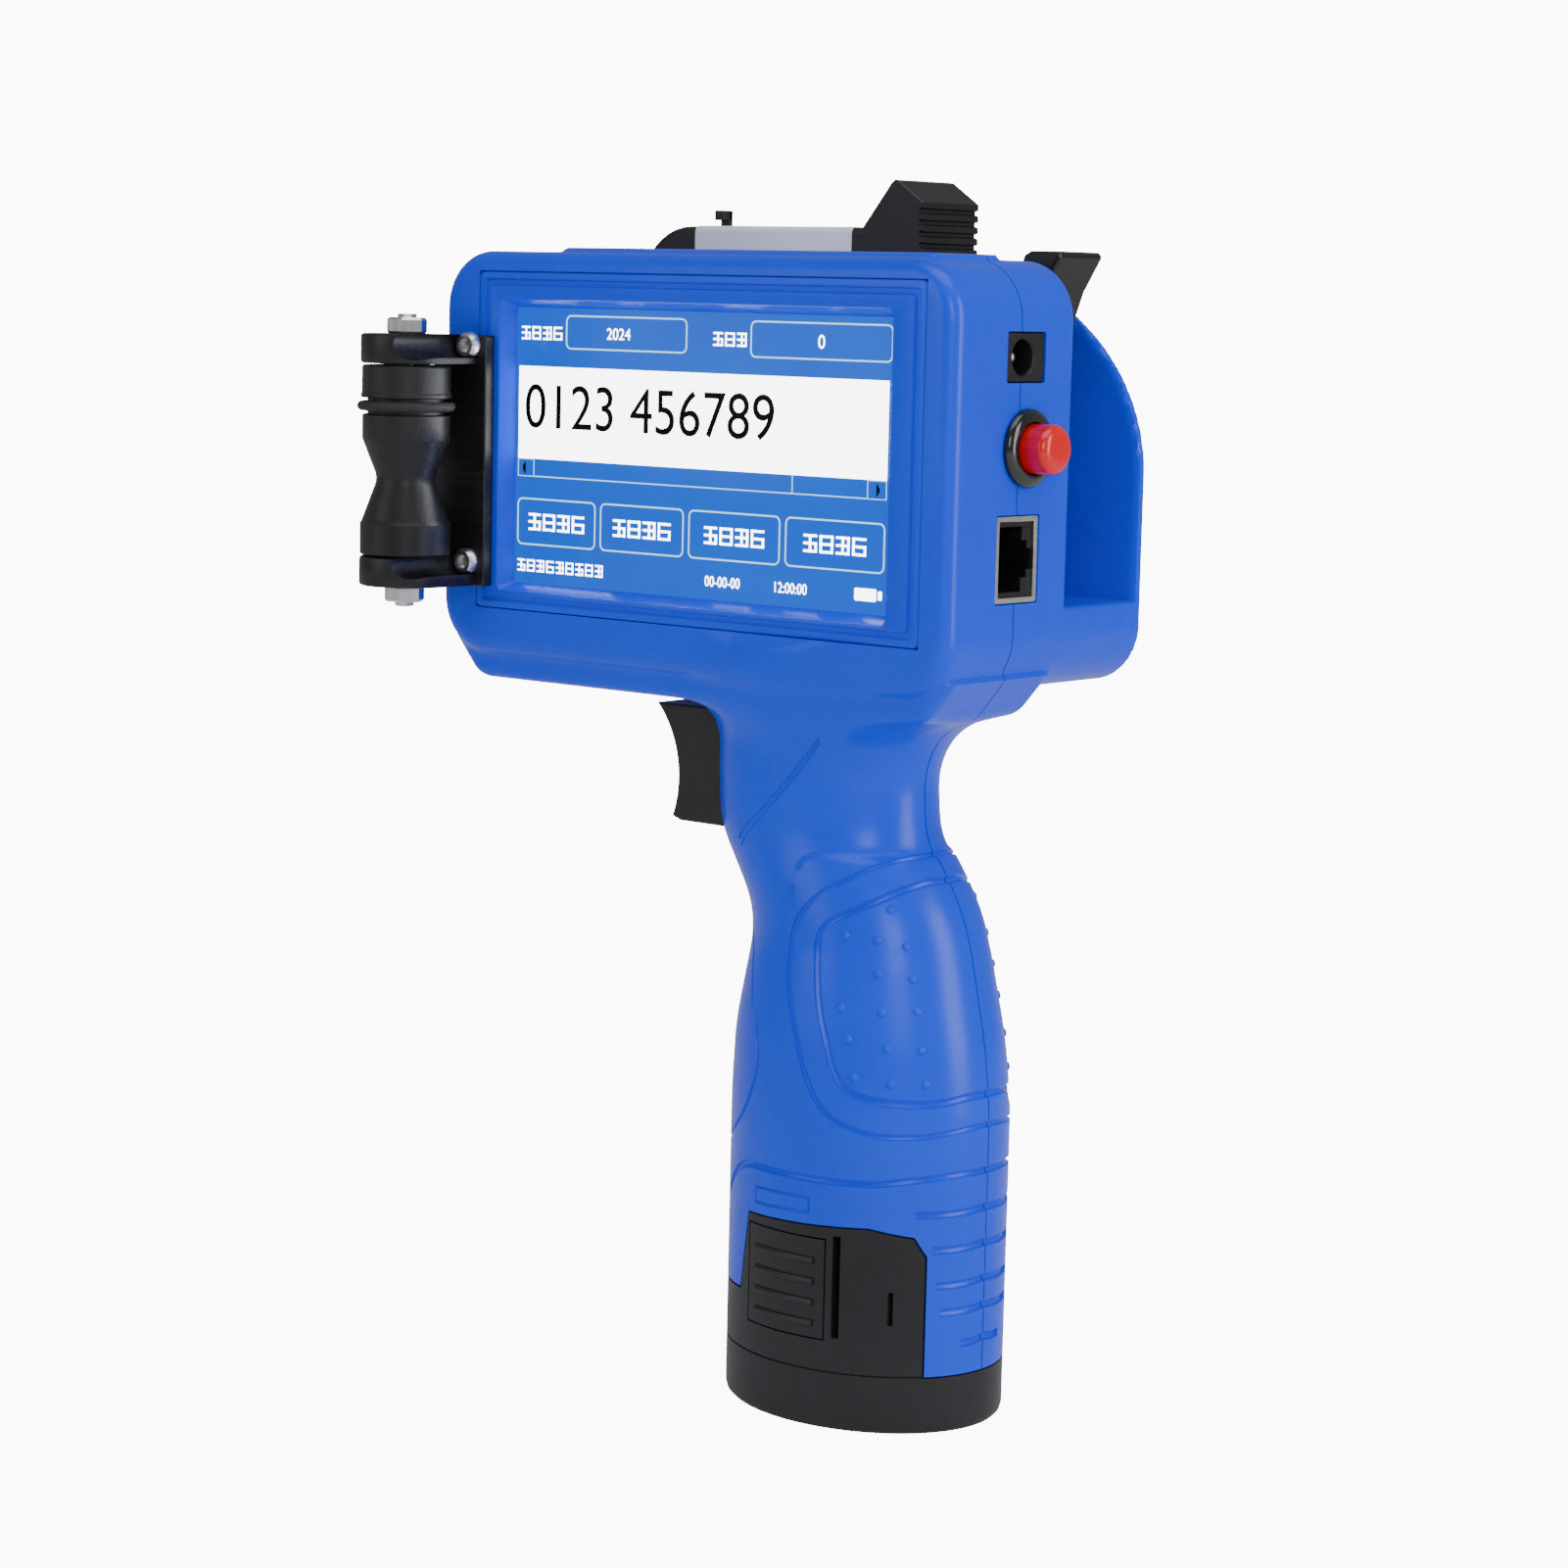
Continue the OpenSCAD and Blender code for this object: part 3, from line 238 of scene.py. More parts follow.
def prism(outline, axis, lo, hi, r=0.4):
    """An outline stood across an axis, with small rounded edges at both ends."""
    start = [(-r, lo), (-0.3 * r, lo + 0.3 * r), (0, lo + r)]
    end = [(0, hi - r), (-0.3 * r, hi - 0.3 * r), (-r, hi)]
    return layered(outline, axis, start + end)


def together(*forms):
    """Several forms as one list of points and faces."""
    verts, faces, start = [], [], 0
    for v, f in forms:
        verts.append(np.asarray(v, float))
        faces += [tuple(i + start for i in face) for face in f]
        start += len(v)
    return np.vstack(verts), faces


print("a 10 by 6 brick has", len(brick((0, 0, 0), (10, 6, 4))[0]), "points")

# %% Pieces
TRIANGLES = {}


MERGE_WITHIN = 1e-6


def mesh_of(name, form):
    """A Blender mesh from points and faces in mm, merged, with its faces turned outwards."""
    verts, faces = form
    mesh = bpy.data.meshes.new(name)
    mesh.from_pydata((np.asarray(verts, float) * MM).tolist(), [], [tuple(int(i) for i in f) for f in faces])
    bm = bmesh.new()
    bm.from_mesh(mesh)
    bmesh.ops.remove_doubles(bm, verts=bm.verts, dist=MERGE_WITHIN)
    bmesh.ops.dissolve_degenerate(bm, edges=bm.edges, dist=MERGE_WITHIN)
    bmesh.ops.recalc_face_normals(bm, faces=bm.faces)
    bm.to_mesh(mesh)
    bm.free()
    return mesh


def thing(name, mesh):
    """An object for that mesh, at the origin."""
    obj = bpy.data.objects.new(name, mesh)
    bpy.context.scene.collection.objects.link(obj)
    return obj


def bake(obj):
    """The object's modifiers become its mesh."""
    bpy.context.view_layer.update()
    graph = bpy.context.evaluated_depsgraph_get()
    mesh = bpy.data.meshes.new_from_object(obj.evaluated_get(graph), depsgraph=graph)
    obj.modifiers.clear()
    old, obj.data = obj.data, mesh
    mesh.name = obj.name
    if old.users == 0:
        bpy.data.meshes.remove(old)
    return obj


def finish_piece(obj, mat, body, stands_for=(), smooth=32):
    """Material, soft shading up to an angle, and its place on a body of the frame."""
    mesh = obj.data
    mesh.materials.clear()
    mesh.materials.append(mat)
    mesh.shade_smooth()
    mesh.set_sharp_from_angle(angle=radians(smooth))
    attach(obj, body)
    if stands_for:
        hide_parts(*stands_for)
    TRIANGLES[obj.name] = sum(len(p.vertices) - 2 for p in mesh.polygons)
    return obj


def piece(name, form, mat, body, stands_for=(), smooth=32):
    """A finished piece from points and faces."""
    return finish_piece(thing(name, mesh_of(name, form)), mat, body, stands_for, smooth)


def cut_with(obj, tools, operation="DIFFERENCE"):
    """Cuts other objects out of the object, or joins them to it, bakes it and throws the tools away."""
    for k, tool in enumerate(tools):
        mod = obj.modifiers.new(f"cut{k}", "BOOLEAN")
        mod.object, mod.operation, mod.solver = tool, operation, "MANIFOLD"
    bake(obj)
    for tool in tools:
        mesh = tool.data
        bpy.data.objects.remove(tool)
        bpy.data.meshes.remove(mesh)
    return obj


def cut_by(obj, *forms, operation="DIFFERENCE"):
    """The same, with forms of points and faces as the tools."""
    tools = [thing(f"{obj.name}_tool{k}", mesh_of("tool", form)) for k, form in enumerate(forms)]
    return cut_with(obj, tools, operation)


print("helpers ready")

# %% [markdown]
# ## Finishes
# Moulded plastic is never one flat colour: the mould is sparked or polished, so the surface has a fine grain,
# the gloss varies in soft clouds, and dust and rubbing show at the lower and outer parts. Those effects are
# shared by nearly every material here, so each one is a node group with named inputs, and every material sets
# its own numbers. Groups hand out colours, masks and normals only; the shader itself stays in the material.

# %% Shared effects as node groups
def new_group(name, inputs, outputs):
    """A shader node group with named sockets; inputs and outputs are (name, kind, default)."""
    tree = bpy.data.node_groups.new(name, "ShaderNodeTree")
    for label, kind, default in inputs:
        s = tree.interface.new_socket(label, in_out="INPUT", socket_type=kind)
        if default is not None:
            s.default_value = default
    for label, kind, default in outputs:
        tree.interface.new_socket(label, in_out="OUTPUT", socket_type=kind)
    return tree, tree.nodes.new("NodeGroupInput"), tree.nodes.new("NodeGroupOutput")


def add(tree, kind, **values):
    """A node with its inputs set by name or number."""
    n = tree.nodes.new(kind)
    for key, value in values.items():
        if hasattr(n, key):
            setattr(n, key, value)
        else:
            n.inputs[key.replace("_", " ")].default_value = value
    return n


def math_node(tree, operation, a, b):
    """A sum, product or comparison of two sockets or numbers."""
    n = tree.nodes.new("ShaderNodeMath")
    n.operation = operation
    for k, v in enumerate((a, b)):
        if isinstance(v, (int, float)):
            n.inputs[k].default_value = v
        else:
            tree.links.new(v, n.inputs[k])
    return n.outputs[0]


def wire(tree, *pairs):
    """Links each pair of sockets, from the first to the second."""
    for source, target in pairs:
        tree.links.new(source, target)


F, V3 = "NodeSocketFloat", "NodeSocketVector"

# Grain: fine sparked texture with a slow wave, as a normal
moulded_grain, gin, gout = new_group(
    "moulded_grain",
    [("Place", V3, None), ("Grain", F, 2600.0), ("Depth", F, 0.2), ("Waviness", F, 0.05)],
    [("Normal", V3, None), ("Cloud", F, None)])
fine = add(moulded_grain, "ShaderNodeTexNoise", Detail=3.0, Roughness=0.6)
slow = add(moulded_grain, "ShaderNodeTexNoise", Scale=42.0, Detail=2.0)
sparks = add(moulded_grain, "ShaderNodeBump", Distance=0.00012)
waves = add(moulded_grain, "ShaderNodeBump", Distance=0.0016)
wire(moulded_grain,
     (gin.outputs["Place"], fine.inputs["Vector"]), (gin.outputs["Grain"], fine.inputs["Scale"]),
     (gin.outputs["Place"], slow.inputs["Vector"]),
     (fine.outputs["Fac"], sparks.inputs["Height"]), (gin.outputs["Depth"], sparks.inputs["Strength"]),
     (slow.outputs["Fac"], waves.inputs["Height"]), (gin.outputs["Waviness"], waves.inputs["Strength"]),
     (sparks.outputs["Normal"], waves.inputs["Normal"]),
     (waves.outputs["Normal"], gout.inputs["Normal"]), (slow.outputs["Fac"], gout.inputs["Cloud"]))

# Handling: soft clouds and small specks where hands and dust have been, as masks
handling, gin, gout = new_group(
    "handling", [("Place", V3, None), ("Amount", F, 0.5)], [("Wear", F, None), ("Specks", F, None)])
big = add(handling, "ShaderNodeTexNoise", Scale=28.0, Detail=6.0, Roughness=0.65)
tone = add(handling, "ShaderNodeMapRange", From_Min=0.45, From_Max=0.72)
dots = add(handling, "ShaderNodeTexVoronoi", Scale=620.0)
near = add(handling, "ShaderNodeMapRange", From_Min=0.10, From_Max=0.04)
wire(handling,
     (gin.outputs["Place"], big.inputs["Vector"]), (big.outputs["Fac"], tone.inputs["Value"]),
     (gin.outputs["Place"], dots.inputs["Vector"]), (dots.outputs["Distance"], near.inputs["Value"]),
     (math_node(handling, "MULTIPLY", tone.outputs[0], gin.outputs["Amount"]), gout.inputs["Wear"]),
     (math_node(handling, "MULTIPLY", near.outputs[0], gin.outputs["Amount"]), gout.inputs["Specks"]))

# Brushed lines: noise stretched along one axis, as a mask and a normal
brushed_lines, gin, gout = new_group(
    "brushed_lines",
    [("Place", V3, None), ("Stretch", V3, (20.0, 900.0, 900.0)), ("Depth", F, 0.25)],
    [("Line", F, None), ("Normal", V3, None)])
far = add(brushed_lines, "ShaderNodeVectorMath", operation="MULTIPLY")
streak = add(brushed_lines, "ShaderNodeTexNoise", Scale=1.0, Detail=4.0)
lines = add(brushed_lines, "ShaderNodeBump", Distance=0.0001)
wire(brushed_lines,
     (gin.outputs["Place"], far.inputs[0]), (gin.outputs["Stretch"], far.inputs[1]),
     (far.outputs[0], streak.inputs["Vector"]), (streak.outputs["Fac"], lines.inputs["Height"]),
     (gin.outputs["Depth"], lines.inputs["Strength"]),
     (streak.outputs["Fac"], gout.inputs["Line"]), (lines.outputs["Normal"], gout.inputs["Normal"]))
print("groups:", [g.name for g in bpy.data.node_groups])

# %% [markdown]
# ## Plastic, rubber, metal and film
# One function makes every moulded plastic: the group's slow cloud moves the colour a little between two
# close tones, wear lightens it and moves the roughness between two values, and the fine grain bends the
# light. A second makes the metals, where the brushed lines carry the look. The numbers differ from piece to
# piece: a polished cap gets almost no grain and a clear coat, a rubber ring gets a deep one and no gloss.

# %% Materials
def object_place(tree):
    """Where a point lies on the object itself, so that a pattern moves with its piece."""
    return tree.nodes.new("ShaderNodeTexCoord").outputs["Object"]


def use(tree, group, place, **values):
    """A shared effect placed in a material, with its own values."""
    g = tree.nodes.new("ShaderNodeGroup")
    g.node_tree = group
    tree.links.new(place, g.inputs["Place"])
    for key, value in values.items():
        g.inputs[key].default_value = value
    return g


def blend_colour(tree, fac, a, b):
    """A mix of two colours or sockets by a mask."""
    n = tree.nodes.new("ShaderNodeMix")
    n.data_type = "RGBA"
    tree.links.new(fac, n.inputs[0])
    for k, v in ((6, a), (7, b)):
        if isinstance(v, tuple):
            n.inputs[k].default_value = (*v, 1)
        else:
            tree.links.new(v, n.inputs[k])
    return n.outputs[2]


def span(tree, fac, lo, hi):
    """A mask spread over the numbers from lo to hi."""
    n = tree.nodes.new("ShaderNodeMapRange")
    n.inputs["To Min"].default_value, n.inputs["To Max"].default_value = lo, hi
    tree.links.new(fac, n.inputs["Value"])
    return n.outputs[0]


RUBBED_DULL = 0.4


def moulded(name, tone, second, rough=(0.3, 0.4), grain=2600.0, depth=0.2, wave=0.05, worn=(0.5, 0.5, 0.5),
    wear=0.1, coat=0.0, coat_rough=0.1, ior=1.5, spec=0.5):
    """A moulded plastic or rubber. worn is the colour where it is rubbed, and wear is how much."""
    mat, _, links, p = node_material(name)
    t = mat.node_tree
    place = object_place(t)
    g = use(t, moulded_grain, place, Grain=grain, Depth=depth, Waviness=wave)
    h = use(t, handling, place, Amount=wear)
    base = blend_colour(t, g.outputs["Cloud"], tone, second)
    base = blend_colour(t, h.outputs["Wear"], base, worn)
    base = blend_colour(t, h.outputs["Specks"], base, worn)
    links.new(base, p.inputs["Base Color"])
    links.new(span(t, h.outputs["Wear"], rough[0], rough[1] + RUBBED_DULL), p.inputs["Roughness"])
    links.new(g.outputs["Normal"], p.inputs["Normal"])
    p.inputs["IOR"].default_value = ior
    p.inputs["Specular IOR Level"].default_value = spec
    if coat:
        p.inputs["Coat Weight"].default_value = coat
        p.inputs["Coat Roughness"].default_value = coat_rough
    return mat


def metal(name, tone, second, rough=(0.22, 0.4), stretch=(900.0, 900.0, 20.0), depth=0.25, metallic=1.0):
    """A brushed, turned, plated or drawn metal."""
    mat, _, links, p = node_material(name)
    t = mat.node_tree
    place = object_place(t)
    g = use(t, brushed_lines, place, Stretch=stretch, Depth=depth)
    h = use(t, handling, place, Amount=0.25)
    base = blend_colour(t, g.outputs["Line"], tone, second)
    base = blend_colour(t, h.outputs["Wear"], base, tuple(0.6 * c for c in tone))
    links.new(base, p.inputs["Base Color"])
    links.new(span(t, g.outputs["Line"], *rough), p.inputs["Roughness"])
    links.new(g.outputs["Normal"], p.inputs["Normal"])
    p.inputs["Metallic"].default_value = metallic
    return mat


BLUE_ABS = moulded("blue_abs", (0.0005, 0.048, 0.80), (0.001, 0.066, 0.92), (0.26, 0.32), grain=1500.0,
    depth=0.10, wave=0.05, worn=(0.005, 0.09, 0.95), wear=0.03, spec=0.32)
BLACK_ABS = moulded("black_abs", (0.006, 0.006, 0.007), (0.012, 0.012, 0.014), (0.36, 0.46), grain=1700.0,
    depth=0.32, worn=(0.03, 0.03, 0.033), wear=0.25, spec=0.35)
FOOT_BLACK = moulded("foot_black", (0.008, 0.008, 0.010), (0.014, 0.014, 0.016), (0.36, 0.46), grain=1400.0,
    depth=0.30, worn=(0.035, 0.035, 0.04), wear=0.25, spec=0.35)
POLISHED_BLACK = moulded("polished_black", (0.006, 0.006, 0.007), (0.010, 0.010, 0.012), (0.12, 0.2),
    grain=3000.0, depth=0.03, worn=(0.04, 0.04, 0.045), wear=0.2, coat=0.4, coat_rough=0.06)
RED_CAP = moulded("red_cap", (0.70, 0.0, 0.0005), (0.80, 0.0003, 0.001), (0.2, 0.28), grain=3000.0,
    depth=0.04, worn=(0.65, 0.01, 0.01), wear=0.1, coat=0.25, coat_rough=0.08)
RUBBER = moulded("soft_rubber", (0.010, 0.010, 0.010), (0.018, 0.018, 0.018), (0.62, 0.8), grain=900.0,
    depth=0.5, worn=(0.05, 0.05, 0.05), wear=0.4, ior=1.45)
LABEL_FILM = moulded("label_film", (0.86, 0.89, 0.95), (0.90, 0.92, 0.97), (0.3, 0.42),
    worn=(0.6, 0.62, 0.66), wear=0.15)
GREY_TRAY = moulded("grey_tray", (0.45, 0.46, 0.47), (0.52, 0.53, 0.54), (0.35, 0.5), worn=(0.3, 0.3, 0.3),
    wear=0.2)
AMBER_FILM = moulded("amber_film", (0.50, 0.22, 0.03), (0.60, 0.30, 0.05), (0.25, 0.35),
    worn=(0.4, 0.18, 0.02), wear=0.3)
CELL_WRAP = moulded("cell_wrap", (0.03, 0.30, 0.12), (0.04, 0.36, 0.15), (0.28, 0.4), worn=(0.2, 0.5, 0.3),
    wear=0.2, coat=0.3)
STEEL = metal("turned_steel", (0.58, 0.58, 0.60), (0.80, 0.80, 0.82))
ZINC = metal("bright_zinc", (0.70, 0.71, 0.73), (0.92, 0.92, 0.94), (0.12, 0.28))
SPRING_WIRE = metal("spring_wire", (0.45, 0.45, 0.48), (0.65, 0.65, 0.68), (0.2, 0.35))
TIN = metal("tin_plate", (0.68, 0.66, 0.62), (0.90, 0.89, 0.86), (0.14, 0.3), stretch=(15.0, 700.0, 700.0))
BRUSHED_SHEET = metal("brushed_sheet", (0.50, 0.51, 0.53), (0.74, 0.75, 0.77), (0.25, 0.42),
    stretch=(700.0, 15.0, 900.0))
GOLD = metal("gold_flash", (0.85, 0.55, 0.16), (1.0, 0.74, 0.30), (0.15, 0.3))
ANODISED = metal("black_anodised", (0.012, 0.012, 0.014), (0.035, 0.035, 0.04), (0.30, 0.48),
    stretch=(30.0, 700.0, 900.0), metallic=0.6)
MAGNET = metal("ground_magnet", (0.12, 0.12, 0.13), (0.22, 0.22, 0.24), (0.35, 0.55))
print("materials:", len(bpy.data.materials))

# %% [markdown]
# ## The housing as a field of distances
# Two blue shells make the box, its belly, the pistol grip and the cartridge bay. On the real mouldings these
# forms melt into each other: the neck flares into the belly, the belly's edges are soft, the grip swells and
# narrows. Boxes joined by booleans would leave hard creases there, and a bevel often fails on them. So the
# form is written as a distance: for any point it says how far the surface is, below zero inside. Two
# distances join with a soft minimum, which makes the fillet by itself, and walking a grid over the field
# gives one closed skin. Sharp openings and grooves are cut afterwards, so they stay crisp.

# %% Sizes of the housing, in mm
X_PRINT, X_REAR, Y_FACE, Y_BACK, Y_FIN = -98.0, 30.5, -20.0, 16.6, 41.0
Y_FIN_IN, Z_BOX, Z_LEDGE, Z_TOP = 38.8, 138.5, 154.3, 218.0
WALL, CORNER, EDGE = 2.4, 11.0, 3.4
# Height, centre, half length and half width of the grip's oval
STATIONS = np.array([(-8, 0, 28.5, 23.5), (0, 0, 28.5, 23.5), (60, 0, 28.5, 23.5), (72.5, -0.5, 27.6, 22.5),
    (85, -0.7, 25.0, 20.8), (90, -0.7, 24.0, 19.9),
    (96.5, -2.6, 23.4, 19.0), (103, -6.9, 23.6, 18.0), (110, -11.6, 23.4, 17.2), (121, -12.4, 23.4, 17.0),
    (150, -12.2, 23.6, 17.0)])
heights = np.arange(-6, 148, 0.5)
kernel = np.exp(-0.5 * (np.arange(-12, 13) / 5.0) ** 2)
kernel /= kernel.sum()
plain_rows = [np.interp(heights, STATIONS[:, 0], STATIONS[:, k]) for k in (1, 2, 3)]
away_from_ends = (heights > 2) & (heights < 142)
GRIP_TABLE = [np.where(away_from_ends, np.convolve(row, kernel, "same"), row) for row in plain_rows]


def oval_at(z):
    """Centre, half length and half width of the grip's oval at a height."""
    return [np.interp(z, heights, row) for row in GRIP_TABLE]


def on_grip(angle, z, out=0.0):
    """The point of the grip's surface at an angle, in degrees from the rear, and a height."""
    c, a, b = oval_at(z)
    return np.array([c + (a + out) * cos(radians(angle)), (b + out) * sin(radians(angle)), z])


# %% Distances and how they join
def outline_distance(u, v, cu, cv, hu, hv, r):
    """Distance to a rectangle with round corners."""
    qu, qv = np.abs(u - cu) - hu + r, np.abs(v - cv) - hv + r
    return np.hypot(np.maximum(qu, 0), np.maximum(qv, 0)) + np.minimum(np.maximum(qu, qv), 0) - r


def slab(d, t, lo, hi, r):
    """Gives a flat distance a thickness from lo to hi. The edges' radius r may differ from point to point."""
    a, b = d + r, np.abs(t - (lo + hi) / 2) - (hi - lo) / 2 + r
    return np.hypot(np.maximum(a, 0), np.maximum(b, 0)) + np.minimum(np.maximum(a, b), 0) - r


def soft_join(a, b, k):
    """The union of two distances, with a fillet about k wide."""
    h = np.maximum(k - np.abs(a - b), 0) / k
    return np.minimum(a, b) - h * h * k / 4


def soft_common(a, b, k):
    """What two distances share, with an edge rounded about k wide."""
    return -soft_join(-a, -b, k)


def oval_distance(u, v, a, b):
    """Distance to an oval of half sizes a and b, true near its edge."""
    k0 = np.hypot(u / a, v / b)
    k1 = np.hypot(u / a**2, v / b**2)
    return k0 * (k0 - 1) / np.maximum(k1, 1e-6)


def grip_distance(x, y, z):
    """Distance to the grip, whose oval changes with height."""
    c, a, b = oval_at(z)
    return oval_distance(x - c, y, a, b)


def housing_distance(x, y, z):
    """Both shells as one solid block, with the bay open."""
    middle_x, middle_z = (X_PRINT + X_REAR) / 2, (Z_BOX + Z_TOP) / 2
    box = outline_distance(x, z, middle_x, middle_z, (X_REAR - X_PRINT) / 2, (Z_TOP - Z_BOX) / 2, CORNER)
    body = slab(box, y, Y_FACE, Y_BACK, np.where(y < -2, EDGE, 1.3))
    # raised land along the top
    land = slab(outline_distance(x, y, -24, -5.5, 46, 10.5, 2.5), z, Z_TOP - 4, Z_TOP + 0.9, 0.5)
    body = soft_join(body, land, 1.0)
    # belly with slanting ends
    slant = np.maximum(-(x + 94.6) * 0.76 - (z - 138.5) * 0.65, (x - 26.6) * 0.76 - (z - 138.5) * 0.65)
    belly = soft_common(slab(soft_common(slant, 133.5 - z, 2.0), y, -17, 14.6, 2.2), z - 142, 0.5)
    body = soft_join(body, belly, 1.6)
    # grip: its flare under the belly is the fillet of this join
    grip = soft_common(soft_common(grip_distance(x, y, z), z - 141, 1), -5 - z, 1)
    flare = 10.5 + 5.0 * np.clip((x + 12) / 20, -0.4, 1)
    body = soft_join(body, grip, flare)
    # ledge and fin of the bay
    ledge = slab(soft_common(box, z - Z_LEDGE, 1.6), y, 8, Y_FIN, 1.4)
    sweep = np.where((x > -19.5) & (z > 178), oval_distance(x + 19.5, z - 178, 50, 40), -20)
    fin = slab(np.maximum(box, sweep), y, Y_FIN_IN, Y_FIN, 0.9)
    body = np.minimum(body, np.minimum(ledge, fin))
    post = slab(outline_distance(x, z, -91, 181, 5.5, 29, 1), y, 36.5, 39.3, 0.6)
    return np.minimum(body, post)


def bands(x, y, z):
    """How far the soft cover over the grip stands proud of the neck, in mm."""
    ang = np.degrees(np.arctan2(np.abs(y) / 19, x + 5))
    edge = 107.2 - 0.055 * np.maximum(ang - 15, 0) - 0.00075 * np.maximum(ang - 45, 0) ** 2
    below_edge = 0.75 / (1 + np.exp((z - edge) / 0.28))
    return below_edge * np.clip((108 - ang) / 30, 0, 1) * np.clip((z - 90) / 12, 0, 1)


def housing_skin(x, y, z):
    """The outside: the block with the soft cover on it."""
    return housing_distance(x, y, z) - bands(x, y, z)


rear_point = (np.array([28.5]), np.array([0.0]), np.array([40.0]))
print("distance at the grip's surface:", round(float(housing_skin(*rear_point)[0]), 3))

# %% [markdown]
# ## From the field to a skin
# The grid is walked twice. A coarse walk throws away the blocks that are far from the surface; the fine one
# puts a point into every cell that the surface crosses, at the mean of its crossings, and joins the points
# of neighbouring cells with a quad. Last, each point slides along the field's slope onto the surface, which
# takes out the grid's stair steps.

# %% Skin of a distance field
FAR = 9.0
SPARE = 1.35


def slope_of(field, points, e=0.05):
    """The field's slope at points, from a small step both ways along each axis."""
    return np.stack([(field(*(points + s).T) - field(*(points - s).T)) / (2 * e) for s in np.eye(3) * e], 1)


def pairs_along(axis):
    """Slices that line each grid point up with its neighbour along an axis."""
    a, b = [slice(None)] * 3, [slice(None)] * 3
    a[axis], b[axis] = slice(0, -1), slice(1, None)
    return tuple(a), tuple(b)


def skin(field, lo, hi, step, block=8):
    """A closed quad skin round the field's inside."""
    lo, hi = np.array(lo, float), np.array(hi, float)
    cells = (np.ceil((hi - lo) / step / block).astype(int)) * block
    size = cells + 1
    values = np.full(size, FAR, np.float32)
    count = cells // block
    centres = [lo[k] + (np.arange(count[k]) + 0.5) * block * step for k in range(3)]
    X, Y, Z = np.meshgrid(*centres, indexing="ij")
    coarse = field(X.ravel(), Y.ravel(), Z.ravel()).reshape(count)
    reach = block * step * 0.87 * SPARE
    offsets = np.arange(block + 1)
    for i, j, k in np.argwhere(coarse < -reach):
        values[tuple(slice(m * block, (m + 1) * block + 1) for m in (i, j, k))] = -FAR
    near = np.argwhere(np.abs(coarse) <= reach)
    for part in np.array_split(near, max(1, len(near) // 600)):
        first = (part * block)[:, :, None, None, None]
        gi = first[:, 0] + offsets[:, None, None]
        gj = first[:, 1] + offsets[:, None]
        gk = first[:, 2] + offsets
        gi, gj, gk = (np.reshape(g, -1) for g in np.broadcast_arrays(gi, gj, gk))
        values[gi, gj, gk] = field(lo[0] + gi * step, lo[1] + gj * step, lo[2] + gk * step)
    inside = values < 0
    total, hits = np.zeros((*cells, 3), np.float32), np.zeros(tuple(cells), np.int16)
    for axis in range(3):
        a, b = pairs_along(axis)
        va, vb = values[a], values[b]
        cross = np.argwhere((va < 0) != (vb < 0))
        f = va[tuple(cross.T)] / (va[tuple(cross.T)] - vb[tuple(cross.T)])
        pts = cross.astype(np.float32)
        pts[:, axis] += f
        others = [k for k in range(3) if k != axis]
        for du in (0, 1):
            for dv in (0, 1):
                c = cross.copy()
                c[:, others[0]] -= du
                c[:, others[1]] -= dv
                ok = (c >= 0).all(1) & (c < cells).all(1)
                np.add.at(total, tuple(c[ok].T), pts[ok])
                np.add.at(hits, tuple(c[ok].T), 1)
    used = np.argwhere(hits > 0)
    number = np.full(tuple(cells), -1, np.int64)
    number[tuple(used.T)] = np.arange(len(used))
    verts = lo + total[tuple(used.T)] / hits[tuple(used.T)][:, None] * step
    faces = []
    for axis in range(3):
        u, v = (axis + 1) % 3, (axis + 2) % 3
        a, b = pairs_along(axis)
        ia, ib = inside[a], inside[b]
        cross = np.argwhere(ia != ib)
        at_u, at_v = cross[:, u], cross[:, v]
        cross = cross[(at_u > 0) & (at_v > 0) & (at_u < cells[u]) & (at_v < cells[v])]
        quad = []
        for du, dv in ((1, 1), (0, 1), (0, 0), (1, 0)):
            c = cross.copy()
            c[:, u] -= du
            c[:, v] -= dv
            quad.append(number[tuple(c.T)])
        quad = np.stack(quad, 1)
        flip = ~ia[tuple(cross.T)]
        quad[flip] = quad[flip][:, ::-1]
        faces.append(quad)
    faces = np.vstack(faces)
    for _ in range(3):
        slope = slope_of(field, verts)
        slide = field(*verts.T) / np.maximum((slope**2).sum(1), 0.25)
        verts = verts - slope * np.clip(slide, -0.45 * step, 0.45 * step)[:, None]
    return verts, faces


def fast_mesh(name, form):
    """A mesh from many quads, without the slow merging of the small pieces."""
    verts, faces = form
    mesh = bpy.data.meshes.new(name)
    mesh.vertices.add(len(verts))
    mesh.vertices.foreach_set("co", (verts * MM).astype(np.float32).ravel())
    mesh.loops.add(len(faces) * 4)
    mesh.loops.foreach_set("vertex_index", faces.astype(np.int32).ravel())
    mesh.polygons.add(len(faces))
    mesh.polygons.foreach_set("loop_start", np.arange(0, len(faces) * 4, 4, dtype=np.int32))
    mesh.update(calc_edges=True)
    mesh.validate()
    return mesh


STEP = 0.95
HOLLOW_STEP = 2.4
ROOM = ((-104, -25, -8), (36, 46, 224))
outside = skin(housing_skin, *ROOM, STEP)
hollow = skin(lambda x, y, z: housing_distance(x, y, z) + WALL, *ROOM, HOLLOW_STEP)
print("skin:", len(outside[1]), "quads outside,", len(hollow[1]), "inside")

